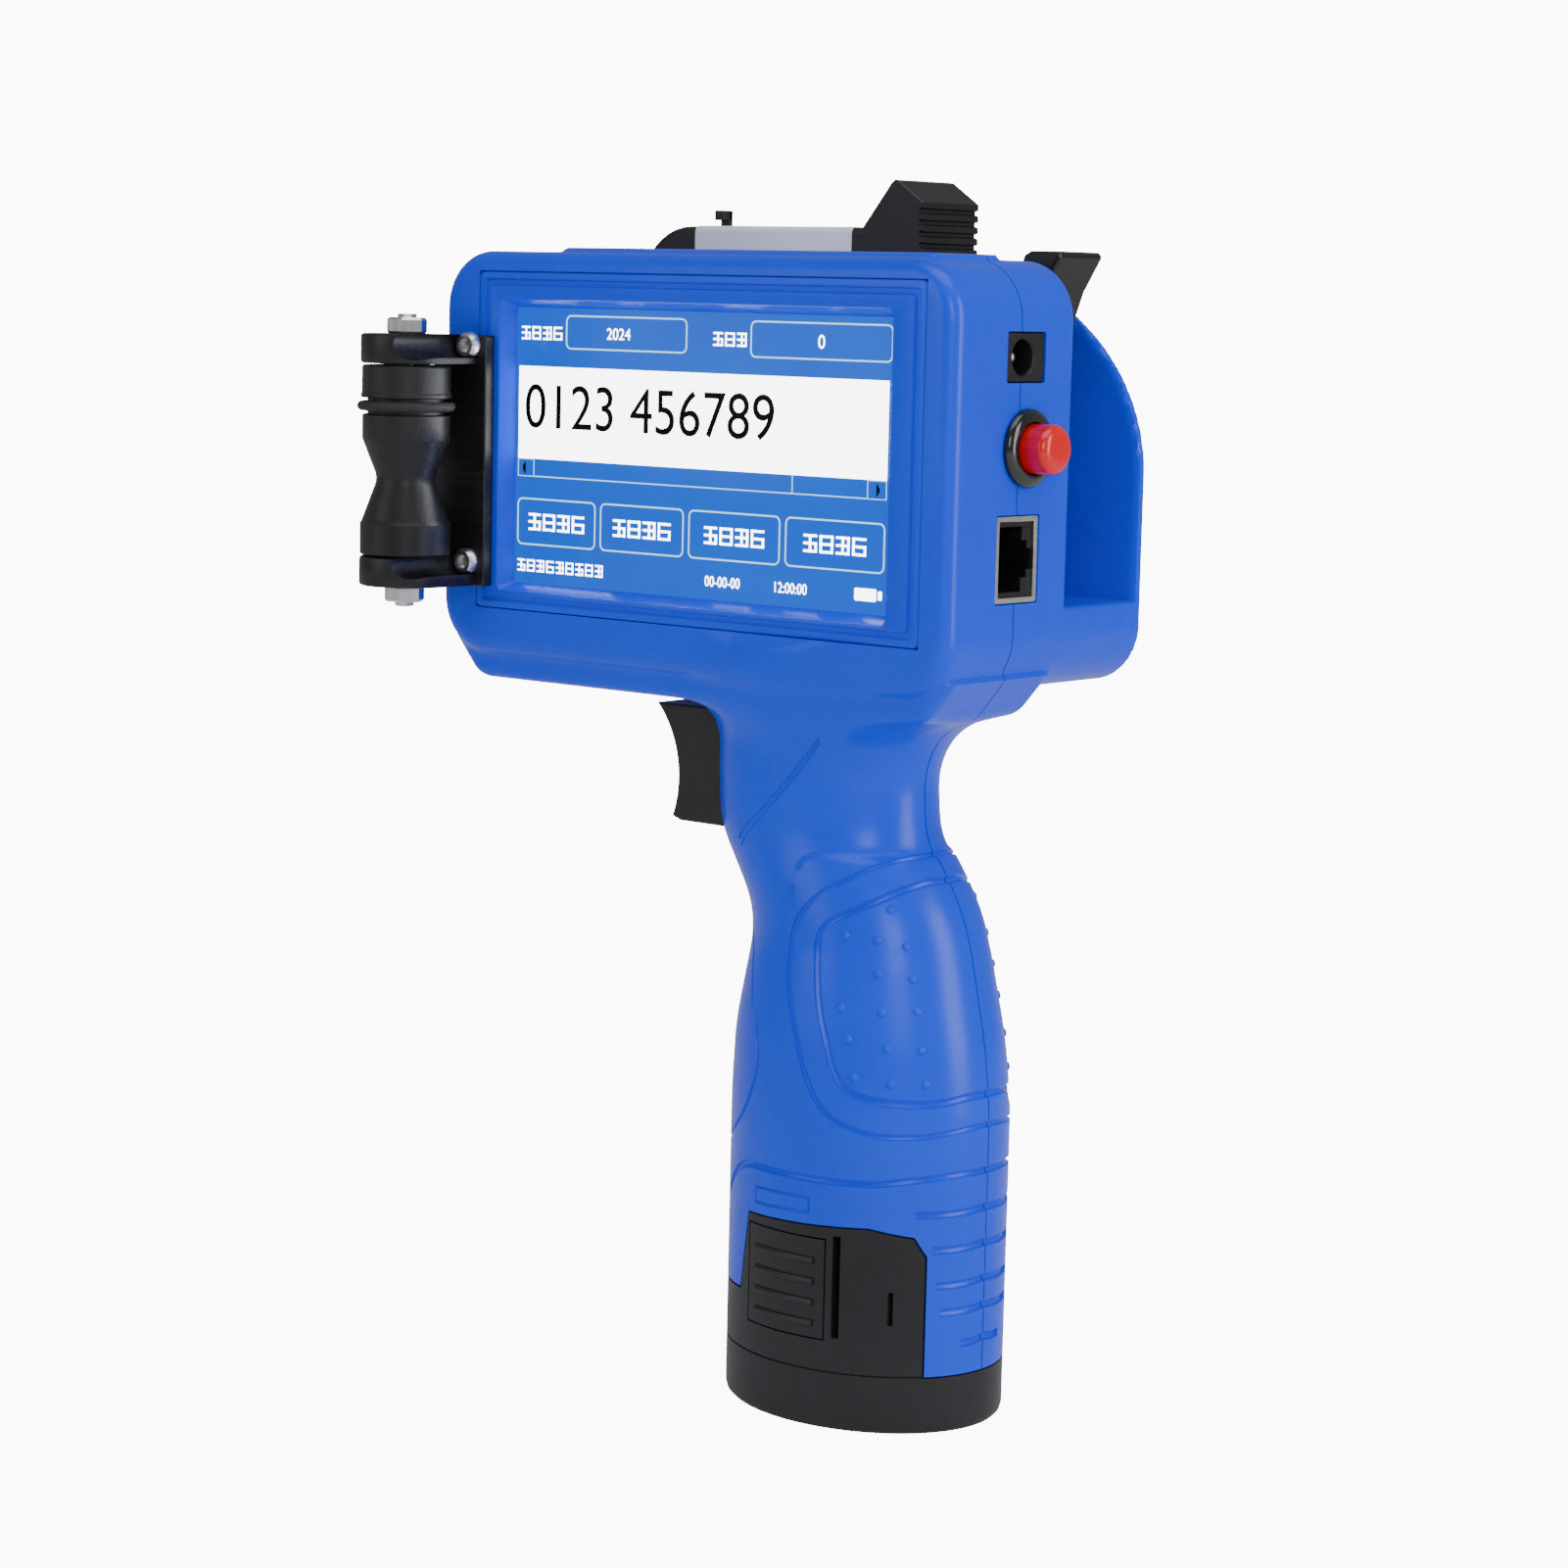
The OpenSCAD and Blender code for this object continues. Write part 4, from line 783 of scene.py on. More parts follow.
# %% [markdown]
# ## Openings, grooves and the joint between the shells
# The hollow comes out first, then every opening: the screen's window, the three holes in the rear end, the
# trigger's slot, the seat of the battery pack and the recess of the print plate. Grooves in the soft cover
# are thin tubes sunk into the surface along a path that is given as angles and heights on the grip's oval,
# so they wrap round it as the real ones do. Then one knife splits the block into front and rear shells, with
# the hairline gap that a real joint shows.

# %% Paths over the grip
def smooth_path(points, per=6, loop=False):
    """A Catmull-Rom curve through the points."""
    p = np.array(points, float)
    ext = np.vstack([p[-1], p, p[:2]]) if loop else np.vstack([2 * p[0] - p[1], p, 2 * p[-1] - p[-2]])
    out = []
    for i in range(len(ext) - 3):
        a, b, c, d = ext[i:i + 4]
        bend, twist = 2 * a - 5 * b + 4 * c - d, 3 * b - a - 3 * c + d
        out += [0.5 * (2 * b + (c - a) * t + bend * t**2 + twist * t**3) for t in np.arange(per) / per]
    if not loop:
        out.append(p[-1])
    return np.array(out)


def tube(path, radius, sides=8, loop=False, out_stretch=1.0):
    """A tube along a path on the grip, with flat ends or joined to itself. out_stretch flattens it."""
    path = np.asarray(path, float)
    n, rings = len(path), []
    turns = [2 * pi * k / sides for k in range(sides)]
    for i in range(n):
        if loop:
            along = path[(i + 1) % n] - path[i - 1]
        else:
            along = path[min(i + 1, n - 1)] - path[max(i - 1, 0)]
        along /= np.linalg.norm(along)
        outward = np.array([path[i][0] + 4, path[i][1], 0.0])
        outward -= along * outward.dot(along)
        outward /= np.linalg.norm(outward)
        side = np.cross(along, outward)
        spokes = [cos(a) * side + out_stretch * sin(a) * outward for a in turns]
        rings.append(np.array([path[i] + radius * spoke for spoke in spokes]))
    return loft(rings, closed=loop)


def lift_to_skin(points):
    """Slides points along the field's slope until they lie on the housing's surface."""
    p = np.array(points, float)
    for _ in range(12):
        slope = slope_of(housing_skin, p)
        p = p - slope * (housing_skin(*p.T) / np.maximum((slope**2).sum(1), 0.3))[:, None]
    return p


def grip_path(pairs, loop=False, per=5):
    """A smooth path over the grip through pairs of an angle and a height."""
    return lift_to_skin([on_grip(a, z) for a, z in smooth_path(pairs, per, loop)])


def both_sides(pairs):
    """The same path mirrored over the joint, as one closed loop round the rear of the grip."""
    return pairs + [(-a, z) for a, z in pairs[::-1]]


OUTER_BORDER = [(-10, 107.3), (-28, 106.6), (-44, 105.2), (-62, 102.5), (-75, 100.1), (-88, 96.5),
    (-96, 92), (-97.5, 86), (-94.5, 80), (-90, 74.5),
    (-85.5, 68.5), (-80, 63.4), (-73, 59.9), (-63, 57.9), (-51, 56.9), (-37, 57), (-22, 57.6), (-9, 58.2)]
INNER_BORDER = [(-10, 102.7), (-17, 102.6), (-34, 101.3), (-51, 99.1), (-68, 96.6), (-76.5, 94.6),
    (-81.6, 91.6), (-81.8, 86.6), (-79, 79), (-75.2, 73.4),
    (-72.2, 69), (-68, 65.8), (-61, 64), (-51, 63.3), (-38, 63), (-24, 63.3), (-11, 64)]
SIDE_BORDER = [(-150, 93), (-142, 91.6), (-134, 88.6), (-127, 83.7), (-121, 78), (-113, 72.7), (-110.5, 68),
    (-113.5, 62.3), (-122, 56.2), (-136, 51.5), (-150, 49)]
LOWER_GROOVE = [(-145, 37.5), (-137, 40.5), (-128, 44.5), (-116, 47.3), (-95, 47.7), (-80, 47.7),
    (-67, 47.7), (-54, 47.9), (-41, 48.6), (-28, 49.2), (-14, 49.6)]
REAR_RIBS = [(-37, 42.2), (-29, 35.4), (-27, 28.6), (-25, 23.4), (-14, 17.2)]
NAME_FRAME = [(-109, 43.6), (-102, 43.8), (-95, 43.9), (-88, 44), (-81, 44), (-81, 41.2), (-88, 41.1),
    (-95, 41), (-102, 40.8), (-109, 40.7)]
NECK_LINE = [(-118, 108.2), (-106, 111.6), (-94.5, 115.1), (-86, 118.5), (-78.4, 121.8), (-71, 125.4),
    (-66.3, 127.9), (-62, 130.6)]
print("borders of", len(OUTER_BORDER), "and", len(INNER_BORDER), "points")

# %% Cut the block
def bar(lo, hi):
    """A plain block, for cutting."""
    (x0, y0, z0), (x1, y1, z1) = lo, hi
    v = [(x0, y0, z0), (x1, y0, z0), (x1, y1, z0), (x0, y1, z0), (x0, y0, z1), (x1, y0, z1), (x1, y1, z1),
        (x0, y1, z1)]
    return v, [(0, 3, 2, 1), (4, 5, 6, 7), (0, 1, 5, 4), (1, 2, 6, 5), (2, 3, 7, 6), (3, 0, 4, 7)]


def flat_prism(outline, axis, lo, hi):
    """An outline stood across an axis with plain ends, for cutting."""
    return loft([ring(outline, axis, lo), ring(outline, axis, hi)])


def socket_hole(place, r):
    """The opening in the rear end round a piece at a centre and of a size, with the hairline of a fit."""
    y, z, w, h = place
    return flat_prism(rounded(w + 2 * FIT, h + 2 * FIT, r, 3) + np.array((y, z)), "x", 24, 34)


# Centre and size of what sits in the screen face and the rear end, and the hairlines round it
SCREEN = (-31.75, 181.0, 111.5, 66.0)
POWER, JACK, PORT = (2.5, 184.0), (1.65, 200.5, 11.3, 9.0), (0.65, 163.75, 12.7, 16.0)
FIT = 0.15
JOINT_GAP = 0.13
PACK_LINE = [(-40, -9), (40, -9), (40, 11.3), (24.3, 11.3), (24.3, 34.3), (22.7, 38), (16, 39.5),
    (-11.6, 38.5), (-14.2, 23.1), (-40, 22.2)]
SHELL_SCREWS = [(-92.4, 212.0), (24.9, 212.0), (-92.4, 143.8), (24.9, 143.8), (-23.4, 62), (23.4, 62),
    (4, 116)]

grooves = [tube(grip_path(both_sides(OUTER_BORDER), loop=True), 0.62, loop=True),
    tube(grip_path(both_sides(INNER_BORDER), loop=True), 0.85, loop=True),
    tube(grip_path(both_sides(LOWER_GROOVE)), 0.72)]
for side in (1, -1):
    grooves.append(tube(grip_path([(a * side, z) for a, z in SIDE_BORDER]), 0.5))
    grooves.append(tube(grip_path([(a * side, z) for a, z in NAME_FRAME], loop=True, per=1), 0.32, loop=True))
    for shift in (0, 1.3):
        grooves.append(tube(grip_path([(a * side, z - shift) for a, z in NECK_LINE]), 0.28))
for a, z in REAR_RIBS:
    grooves.append(tube(grip_path([(a, z), (a * 0.5, z), (0, z + 0.4), (-a * 0.5, z), (-a, z)]), 0.8))

shell = thing("housing", fast_mesh("housing", outside))
inner = thing("hollow", fast_mesh("hollow", hollow))
cut_with(shell, [inner])
cx, cz, w, h = SCREEN
screen_hole = bar((cx - w / 2 - FIT, -26, cz - h / 2 - FIT), (cx + w / 2 + FIT, -16, cz + h / 2 + FIT))
button_hole = solid_of([(6.15, 24), (6.15, 34)], "x", POWER)
trigger_slot = bar((-53, -10.8, 108.7), (-17, 10.8, 132.0))
plate_recess = bar((-104, 3.6, 142.3), (-96.5, 46, 224))
below_shells = bar((-60, -40, -12), (60, 40, 11.3))
screw_wells = [solid_of([(2.45, 8.5), (2.45, 60)], "y", place, 32) for place in SHELL_SCREWS]
cut_by(shell, screen_hole, socket_hole(JACK, 0.4), socket_hole(PORT, 0.3), button_hole, trigger_slot,
       flat_prism(PACK_LINE, "y", -40, 40), plate_recess, below_shells, *screw_wells, *grooves)
check = bmesh.new()
check.from_mesh(shell.data)
print("housing:", len(shell.data.polygons), "faces, open edges:", sum(not e.is_manifold for e in check.edges))
check.free()

# %% Split into front and rear shells
def half(name, node, lo, hi):
    """What is left of the housing when everything from lo to hi is taken off."""
    obj = thing(name, shell.data.copy())
    cut_by(obj, bar(lo, hi))
    return finish_piece(obj, BLUE_ABS, "housing", (node,), smooth=38)


half("rear_skin", "rear_shell", (-120, -60, -20), (60, JOINT_GAP, 240))
half("front_skin", "front_shell", (-120, -JOINT_GAP, -20), (60, 60, 240))
bpy.data.objects.remove(shell)
print("front:", TRIANGLES["front_skin"], "rear:", TRIANGLES["rear_skin"])

# %% [markdown]
# ## Raised details of the grip
# Small domes on the soft cover keep the hand from slipping. Fifteen on each side share one mesh, so they are
# a job for Geometry Nodes: the input is a cloud of loose points with the surface's normal stored on each, and
# the tree puts a flattened ball on every point and turns it to face along its normal. Realize Instances at
# the end makes real faces of them, because an instance is lost when the model is exported.

# %% A tree that puts a shape on points
def geometry_tree(name, inputs):
    """A Geometry Nodes tree with a geometry in and out and named inputs, and its two end nodes."""
    tree = bpy.data.node_groups.new(name, "GeometryNodeTree")
    tree.interface.new_socket("Geometry", in_out="INPUT", socket_type="NodeSocketGeometry")
    for label, kind, default in inputs:
        s = tree.interface.new_socket(label, in_out="INPUT", socket_type=kind)
        if default is not None:
            s.default_value = default
    tree.interface.new_socket("Geometry", in_out="OUTPUT", socket_type="NodeSocketGeometry")
    return tree, tree.nodes.new("NodeGroupInput"), tree.nodes.new("NodeGroupOutput")


def close_tree(tree, geometry, gin, gout):
    """Realize Instances and Set Material, then the output."""
    real = tree.nodes.new("GeometryNodeRealizeInstances")
    paint = tree.nodes.new("GeometryNodeSetMaterial")
    tree.links.new(geometry, real.inputs[0])
    tree.links.new(real.outputs[0], paint.inputs["Geometry"])
    tree.links.new(gin.outputs["Finish"], paint.inputs["Material"])
    tree.links.new(paint.outputs[0], gout.inputs[0])


def run_tree(name, mesh, tree, values, body, stands_for=(), smooth=40):
    """Runs a tree on a mesh and bakes the result to a finished piece."""
    obj = thing(name, mesh)
    mod = obj.modifiers.new("nodes", "NODES")
    mod.node_group = tree
    for item in tree.interface.items_tree:
        if item.item_type == "SOCKET" and item.in_out == "INPUT" and item.name in values:
            mod[item.identifier] = values[item.name]
    bake(obj)
    return finish_piece(obj, values["Finish"], body, stands_for, smooth)


def cloud(name, points, normals):
    """Loose points, in mm, with a direction stored on each."""
    mesh = bpy.data.meshes.new(name)
    mesh.from_pydata([tuple(float(c) * MM for c in p) for p in points], [], [])
    facing = mesh.attributes.new("facing", "FLOAT_VECTOR", "POINT")
    facing.data.foreach_set("vector", np.array(normals, np.float32).ravel())
    return mesh


on_points, gin, gout = geometry_tree(
    "shape_on_points",
    [("Shape", "NodeSocketObject", None), ("Finish", "NodeSocketMaterial", None), ("Size", F, 1.0)])
facing = on_points.nodes.new("GeometryNodeInputNamedAttribute")
facing.data_type = "FLOAT_VECTOR"
facing.inputs["Name"].default_value = "facing"
turn_to = on_points.nodes.new("FunctionNodeAlignRotationToVector")
turn_to.axis = "Z"
shape = on_points.nodes.new("GeometryNodeObjectInfo")
place = on_points.nodes.new("GeometryNodeInstanceOnPoints")
wire(on_points,
     (facing.outputs["Attribute"], turn_to.inputs["Vector"]), (gin.outputs["Shape"], shape.inputs["Object"]),
     (gin.outputs["Geometry"], place.inputs["Points"]), (shape.outputs["Geometry"], place.inputs["Instance"]),
     (turn_to.outputs["Rotation"], place.inputs["Rotation"]), (gin.outputs["Size"], place.inputs["Scale"]))
close_tree(on_points, place.outputs[0], gin, gout)


def shapes_at(name, form, points, normals, finish, body, stands_for=(), smooth=40):
    """Copies of a form, made round +Z at the origin, at points that face along normals."""
    pattern = thing(name + "_pattern", mesh_of(name + "_pattern", form))
    obj = run_tree(name, cloud(name, points, normals), on_points,
        {"Shape": pattern, "Finish": finish, "Size": 1.0}, body, stands_for, smooth)
    bpy.data.objects.remove(pattern)
    return obj


print("trees:", [g.name for g in bpy.data.node_groups if g.type == "GEOMETRY"])

# %% Domes of the soft cover
def dome(r, h, n=16):
    """A flattened ball round the origin."""
    side = [(r * sin(radians(a)), -h * cos(radians(a))) for a in range(20, 180, 20)]
    return solid_of([(0.02, -h)] + side + [(0.02, h)], "z", (0, 0), n)


def skin_normals(points):
    """The direction straight out of the housing at each point."""
    slope = slope_of(housing_skin, points)
    return slope / np.linalg.norm(slope, axis=1)[:, None]


DOME_RADIUS, DOME_HEIGHT, DOME_SUNK = 0.85, 0.5, 0.1


DOMES = [(-42, 98.2), (-67, 93.3), (-52, 92.9), (-38.6, 91.8), (-53, 86.8), (-37, 86), (-69.5, 80.2),
    (-51.5, 79.8), (-35.5, 80.1), (-66, 74.5), (-49.6, 73.2),
    (-34.8, 73), (-63.4, 67.6), (-48.2, 66.8), (-33.3, 66.7)]
dome_points = lift_to_skin([on_grip(a * s, z) for a, z in DOMES for s in (1, -1)])
outwards = skin_normals(dome_points)
shapes_at("grip_domes", dome(DOME_RADIUS, DOME_HEIGHT), dome_points - DOME_SUNK * outwards, outwards,
    BLUE_ABS, "housing", smooth=80)
print("domes:", len(dome_points))

# %% [markdown]
# ## Bezel
# The bezel is a frame of its own: a hairline sets it off from the shell, a shallow channel runs round it, and
# inside that its lip slopes down to the glass. Its section is the same all the way round, so it is a loft of
# rectangles, one for each corner of the section, that closes on itself. The lit area isn't centred in the
# bezel, so every rectangle has its own centre.

# %% Bezel as a closed loft of rectangles
LIT = (-32.8, 180.15, 95.04, 53.86)


def frame_ring(rect, extra, y, r):
    """A rectangle of centre and size rect, larger by extra on every side, at a depth y."""
    cx, cz, w, h = rect
    return ring(rounded(w + 2 * extra, h + 2 * extra, r, 6), "y", y, (cx, cz))


# From the outer rim over the channel and the lip, and back inside: rectangle, extra, depth, radius
section = [(SCREEN, 0, -17.3, 1.2), (SCREEN, 0, -19.7, 1.2), (SCREEN, -0.12, -19.92, 1.1),
    (SCREEN, -0.35, -20.0, 1.0), (SCREEN, -1.25, -20.0, 1.0), (SCREEN, -1.4, -19.9, 1.0),
    (SCREEN, -1.65, -19.35, 1.0), (SCREEN, -2.5, -19.35, 1.0), (SCREEN, -2.75, -19.9, 1.0),
    (SCREEN, -2.9, -20.0, 1.0), (LIT, 2.1, -20.0, 1.6), (LIT, 1.75, -19.9, 1.4),
    (LIT, 1.5, -19.6, 1.2), (LIT, 0.35, -16.8, 0.6), (LIT, 0.15, -16.52, 0.5), (LIT, 0.15, -15.6, 0.5),
    (LIT, 3.2, -15.6, 1.0), (SCREEN, 1.0, -15.6, 2.0), (SCREEN, 1.0, -17.3, 2.0)]
piece("bezel_frame", loft([frame_ring(*s) for s in section], closed=True), BLUE_ABS, "housing",
    ("screen_bezel",), smooth=25)

# %% [markdown]
# ## The lit screen
# The panel shines by itself, so its materials are emissive, with a faint gloss that shows the room. The page
# on it is drawn with real, very thin shapes instead of an image: outlines are lofts of rounded rectangles,
# and the white field and the icons are flat plates. What such a page says is left generic: numerals, bars
# and simple icons. Numerals come from a text object that is made a mesh before it is placed.

# %% Screen materials
ROW_SHARE = 0.12


def glowing(name, tone, second, strength, scale=60.0, rough=0.12):
    """A lit surface: a soft gradient of two tones with the fine rows of a panel."""
    mat, _, links, p = node_material(name)
    t = mat.node_tree
    place = object_place(t)
    soft = add(t, "ShaderNodeTexNoise", Scale=scale, Detail=1.0)
    links.new(place, soft.inputs["Vector"])
    rows = add(t, "ShaderNodeTexWave", Scale=1300.0)
    rows.bands_direction = "Z"
    links.new(place, rows.inputs["Vector"])
    fine_rows = math_node(t, "MULTIPLY", rows.outputs["Fac"], ROW_SHARE)
    mixed = math_node(t, "ADD", fine_rows, math_node(t, "MULTIPLY", soft.outputs["Fac"], 1 - ROW_SHARE))
    links.new(blend_colour(t, mixed, tone, second), p.inputs["Emission Color"])
    unlit, unlit_second = (tuple(c * 0.3 for c in tint) for tint in (tone, second))
    links.new(blend_colour(t, mixed, unlit, unlit_second), p.inputs["Base Color"])
    p.inputs["Emission Strength"].default_value = strength
    p.inputs["Roughness"].default_value = rough
    p.inputs["Specular IOR Level"].default_value = 0.15
    return mat


SCREEN_BLUE = glowing("screen_blue", (0.0, 0.12, 0.95), (0.0, 0.16, 1.0), 0.68)
SCREEN_LINE = glowing("screen_line", (0.42, 0.78, 1.0), (0.5, 0.85, 1.0), 1.7)
SCREEN_WHITE = glowing("screen_white", (0.95, 0.96, 1.0), (1.0, 1.0, 1.0), 7.0)
SCREEN_INK = glowing("screen_ink", (0.002, 0.002, 0.003), (0.004, 0.004, 0.006), 0.4)
print("screen materials ready")

# %% Layout of the page
GLASS_Y = -16.5
X0, Z0, LW, LH = LIT[0] - LIT[2] / 2, LIT[1] + LIT[3] / 2, LIT[2], LIT[3]


def spot(u, v):
    """A place on the page, from its left and top edges, in mm of the model."""
    return X0 + u * LW, Z0 - v * LH


def page_rectangle(u0, v0, u1, v1):
    """Centre, width and height of a rectangle on the page."""
    (xa, za), (xb, zb) = spot(u0, v0), spot(u1, v1)
    return ((xa + xb) / 2, (za + zb) / 2), xb - xa, za - zb


def plate_at(u0, v0, u1, v1, lift, thick=0.05, r=0.05):
    """A thin filled plate on the page, its front that far off the glass."""
    centre, w, h = page_rectangle(u0, v0, u1, v1)
    out = rounded(w, h, min(r, w / 2.01, h / 2.01), 4)
    return loft([ring(out, "y", GLASS_Y - lift + deep, centre) for deep in (0, thick)])


def outline_at(u0, v0, u1, v1, r=1.3, line=0.3, lift=0.06):
    """The outline of a rounded box on the page, drawn as thin as a line."""
    centre, w, h = page_rectangle(u0, v0, u1, v1)
    a, b = rounded(w, h, r, 5), rounded(w - 2 * line, h - 2 * line, max(r - line, 0.1), 5)
    steps = ((a, GLASS_Y - lift), (b, GLASS_Y - lift), (b, GLASS_Y), (a, GLASS_Y))
    return loft([ring(edge, "y", y, centre) for edge, y in steps], closed=True)


def numerals(words, u, v, height, lift, squeeze=1.0):
    """Numerals as a flat mesh: height in mm, left end and baseline at (u, v)."""
    curve = bpy.data.curves.new("numerals", "FONT")
    curve.body, curve.size, curve.extrude = words, height / 0.7, 0.02
    obj = bpy.data.objects.new("numerals", curve)
    bpy.context.scene.collection.objects.link(obj)
    bpy.context.view_layer.update()
    mesh = bpy.data.meshes.new_from_object(obj.evaluated_get(bpy.context.evaluated_depsgraph_get()))
    x, z = spot(u, v)
    verts = [(x + p.co.x * squeeze, GLASS_Y - lift + p.co.z, z + p.co.y) for p in mesh.vertices]
    faces = [tuple(p.vertices) for p in mesh.polygons]
    bpy.data.objects.remove(obj)
    bpy.data.curves.remove(curve)
    return verts, faces


def strokes(u, v, count, w=0.021, h=0.045, gap=0.006):
    """A row of small square marks made of bars, as a label whose words are left out."""
    out = []
    for i in range(count):
        a = u + i * (w + gap)
        upright = ((0.0, 0), (0.16, 1)) if i % 2 else ((0.42, 0), (0.58, 1))
        pattern = [((0, 0.0), (1, 0.14)), ((0, 0.43), (1, 0.57)), ((0, 0.86), (1, 1.0)), upright]
        pattern.append(((0.84, 0 if i % 3 else 0.43), (1, 1)))
        out += [plate_at(a + p[0] * w, v + p[1] * h, a + q[0] * w, v + q[1] * h, 0.05) for p, q in pattern]
    return out


BUTTONS = [(0.006, 0.227), (0.240, 0.468), (0.481, 0.721), (0.734, 0.984)]
lines = [outline_at(0.137, 0.022, 0.468, 0.145), outline_at(0.634, 0.022, 0.992, 0.150)]
lines += [outline_at(a, 0.690, b, 0.862) for a, b in BUTTONS]
lines += [outline_at(0.006, 0.547, 0.052, 0.612, 0.1, 0.16),
    outline_at(0.937, 0.547, 0.985, 0.612, 0.1, 0.16), plate_at(0.052, 0.608, 0.937, 0.612, 0.05),
    plate_at(0.748, 0.549, 0.750, 0.61, 0.05)]
piece("page_outlines", together(*lines), SCREEN_LINE, "housing", smooth=20)

marks = strokes(0.012, 0.066, 4, 0.024, 0.048) + strokes(0.537, 0.066, 3, 0.025, 0.048)
marks += strokes(0.008, 0.915, 9, 0.0215, 0.044)
for k, (a, b) in enumerate(BUTTONS):
    marks += strokes((a + b) / 2 - 0.078, 0.745, 4, 0.034, 0.062, 0.007)
marks += [numerals("2024", 0.250, 0.105, 2.2, 0.06), numerals("0", 0.806, 0.110, 2.5, 0.06),
    numerals("00-00-00", 0.527, 0.955, 2.0, 0.06, 0.85), numerals("12:00:00", 0.705, 0.955, 2.0, 0.06, 0.85)]
marks += [plate_at(0.912, 0.915, 0.966, 0.958, 0.06, r=0.3),
    plate_at(0.970, 0.921, 0.980, 0.952, 0.06, r=0.3)]
piece("page_marks", together(*marks), SCREEN_WHITE, "housing", smooth=20)
piece("page_field", plate_at(0.006, 0.210, 0.985, 0.546, 0.03), SCREEN_WHITE, "housing",
    smooth=20)
arrows = []
for u, way in ((0.020, 1), (0.966, -1)):
    for k in range(5):
        a, rise = u + way * 0.0015 * k, 0.0035 * k
        arrows.append(plate_at(a, 0.572 - rise, a + 0.0015, 0.588 + rise, 0.06))
piece("page_figures", together(numerals("0123 456789", 0.022, 0.432, 8.6, 0.07, 1.0), *arrows), SCREEN_INK,
    "housing", smooth=20)

# %% Glass
glass = layered(rounded(103.6, 66.1, 1.2, 5), "y", [(-0.3, -16.5), (0, -16.42), (0, -15.6), (-0.2, -15.42)],
    (-31.9, 180.15))
piece("lit_glass", glass, SCREEN_BLUE, "housing", ("touch_glass",), smooth=30)
print("screen page pieces:", [n for n in TRIANGLES if n.startswith("page") or n == "lit_glass"])

# %% [markdown]
# ## Charger jack, power button and data port
# The jack is a square black block with a round hole and a thin pin. The power button is a red cap in a domed,
# polished bushing, both turned. The data port is a folded tin frame round a black insert, and the insert's
# opening has the two steps that stop a plug from going in upside down.

# %% Jack
JACK_BORE = (1.05, 200.5)
obj = thing("charger_socket", mesh_of("charger_socket",
    brick((16.2, JACK[0] - 5.65, 196.0), (30.25, JACK[0] + 5.65, 205.0), 0.4, "x")))
cut_by(obj, solid_of([(3.25, 18), (3.25, 29.85), (3.65, 30.3), (3.65, 33)], "x", JACK_BORE, 40))
finish_piece(obj, BLACK_ABS, "housing", ("dc_jack",))
piece("charger_pin", solid_of([(1, 16.2), (1, 27.3), (0.85, 27.7), (0.5, 27.95), (0.05, 28.0)], "x",
    JACK_BORE, 20), STEEL, "housing", ("dc_jack_pin",))

# %% Power button
piece("button_ring",
    turned([(4.85, 20.6), (6.0, 20.6), (6.0, 30.45), (7.1, 30.5), (7.25, 30.65), (7.25, 31.1), (7.12, 31.5),
    (6.8, 31.9), (6.3, 32.2), (5.6, 32.42), (5.1, 32.48), (4.9, 32.4), (4.85, 32.25)], "x", POWER, 48),
    POLISHED_BLACK, "housing", ("power_bushing",), smooth=50)
piece("red_cap",
    solid_of([(2.5, 21.6), (2.5, 26.5), (4.5, 26.5), (4.6, 26.6), (4.6, 36.2), (4.54, 36.7), (4.35, 37.15),
    (4.0, 37.55), (3.5, 37.85), (2.8, 38.02), (1.6, 38.08), (0.05, 38.1)], "x", POWER, 48),
    RED_CAP, "power_button", ("power_cap",), smooth=50)

# %% Data port
def box_rings(w, h, steps, r=0.6):
    """Rectangles round the port's middle for each (growth, position) step."""
    return [ring(rounded(w + 2 * g, h + 2 * g, max(r + g, 0.1), 3), "x", t, PORT[:2]) for g, t in steps]


frame_rings = box_rings(*PORT[2:], [(0, 15.3), (0, 30.1), (-0.1, 30.3), (-0.95, 30.3), (-1.05, 30.2),
    (-1.05, 29.8), (-0.5, 29.72), (-0.5, 15.3)])
piece("port_frame", loft(frame_rings, closed=True), TIN, "housing", ("data_port_shell",))
obj = thing("port_insert",
    mesh_of("port_insert", brick((15.8, PORT[0] - 5.8, PORT[1] - 7.45),
    (29.7, PORT[0] + 5.8, PORT[1] + 7.45), 0.2, "x")))
cut_by(obj, bar((18.3, PORT[0] - 4.9, PORT[1] - 6), (32, PORT[0] + 2.2, PORT[1] + 6)),
    bar((18.3, PORT[0] + 2.1, PORT[1] - 3.4), (32, PORT[0] + 3.8, PORT[1] + 3.4)),
    bar((18.3, PORT[0] + 3.7, PORT[1] - 1.9), (32, PORT[0] + 5.1, PORT[1] + 1.9)))
finish_piece(obj, BLACK_ABS, "housing", ("data_port_insert",))
print("rear end done")

# %% [markdown]
# ## Screws and nuts
# Screws are the classic repeated part. One head with a cross recess is a loft of sixteen-point rings: out,
# over the top and down into a star. The nodes tree from the grip's domes places it, so each set of screws is
# only a list of places and directions.

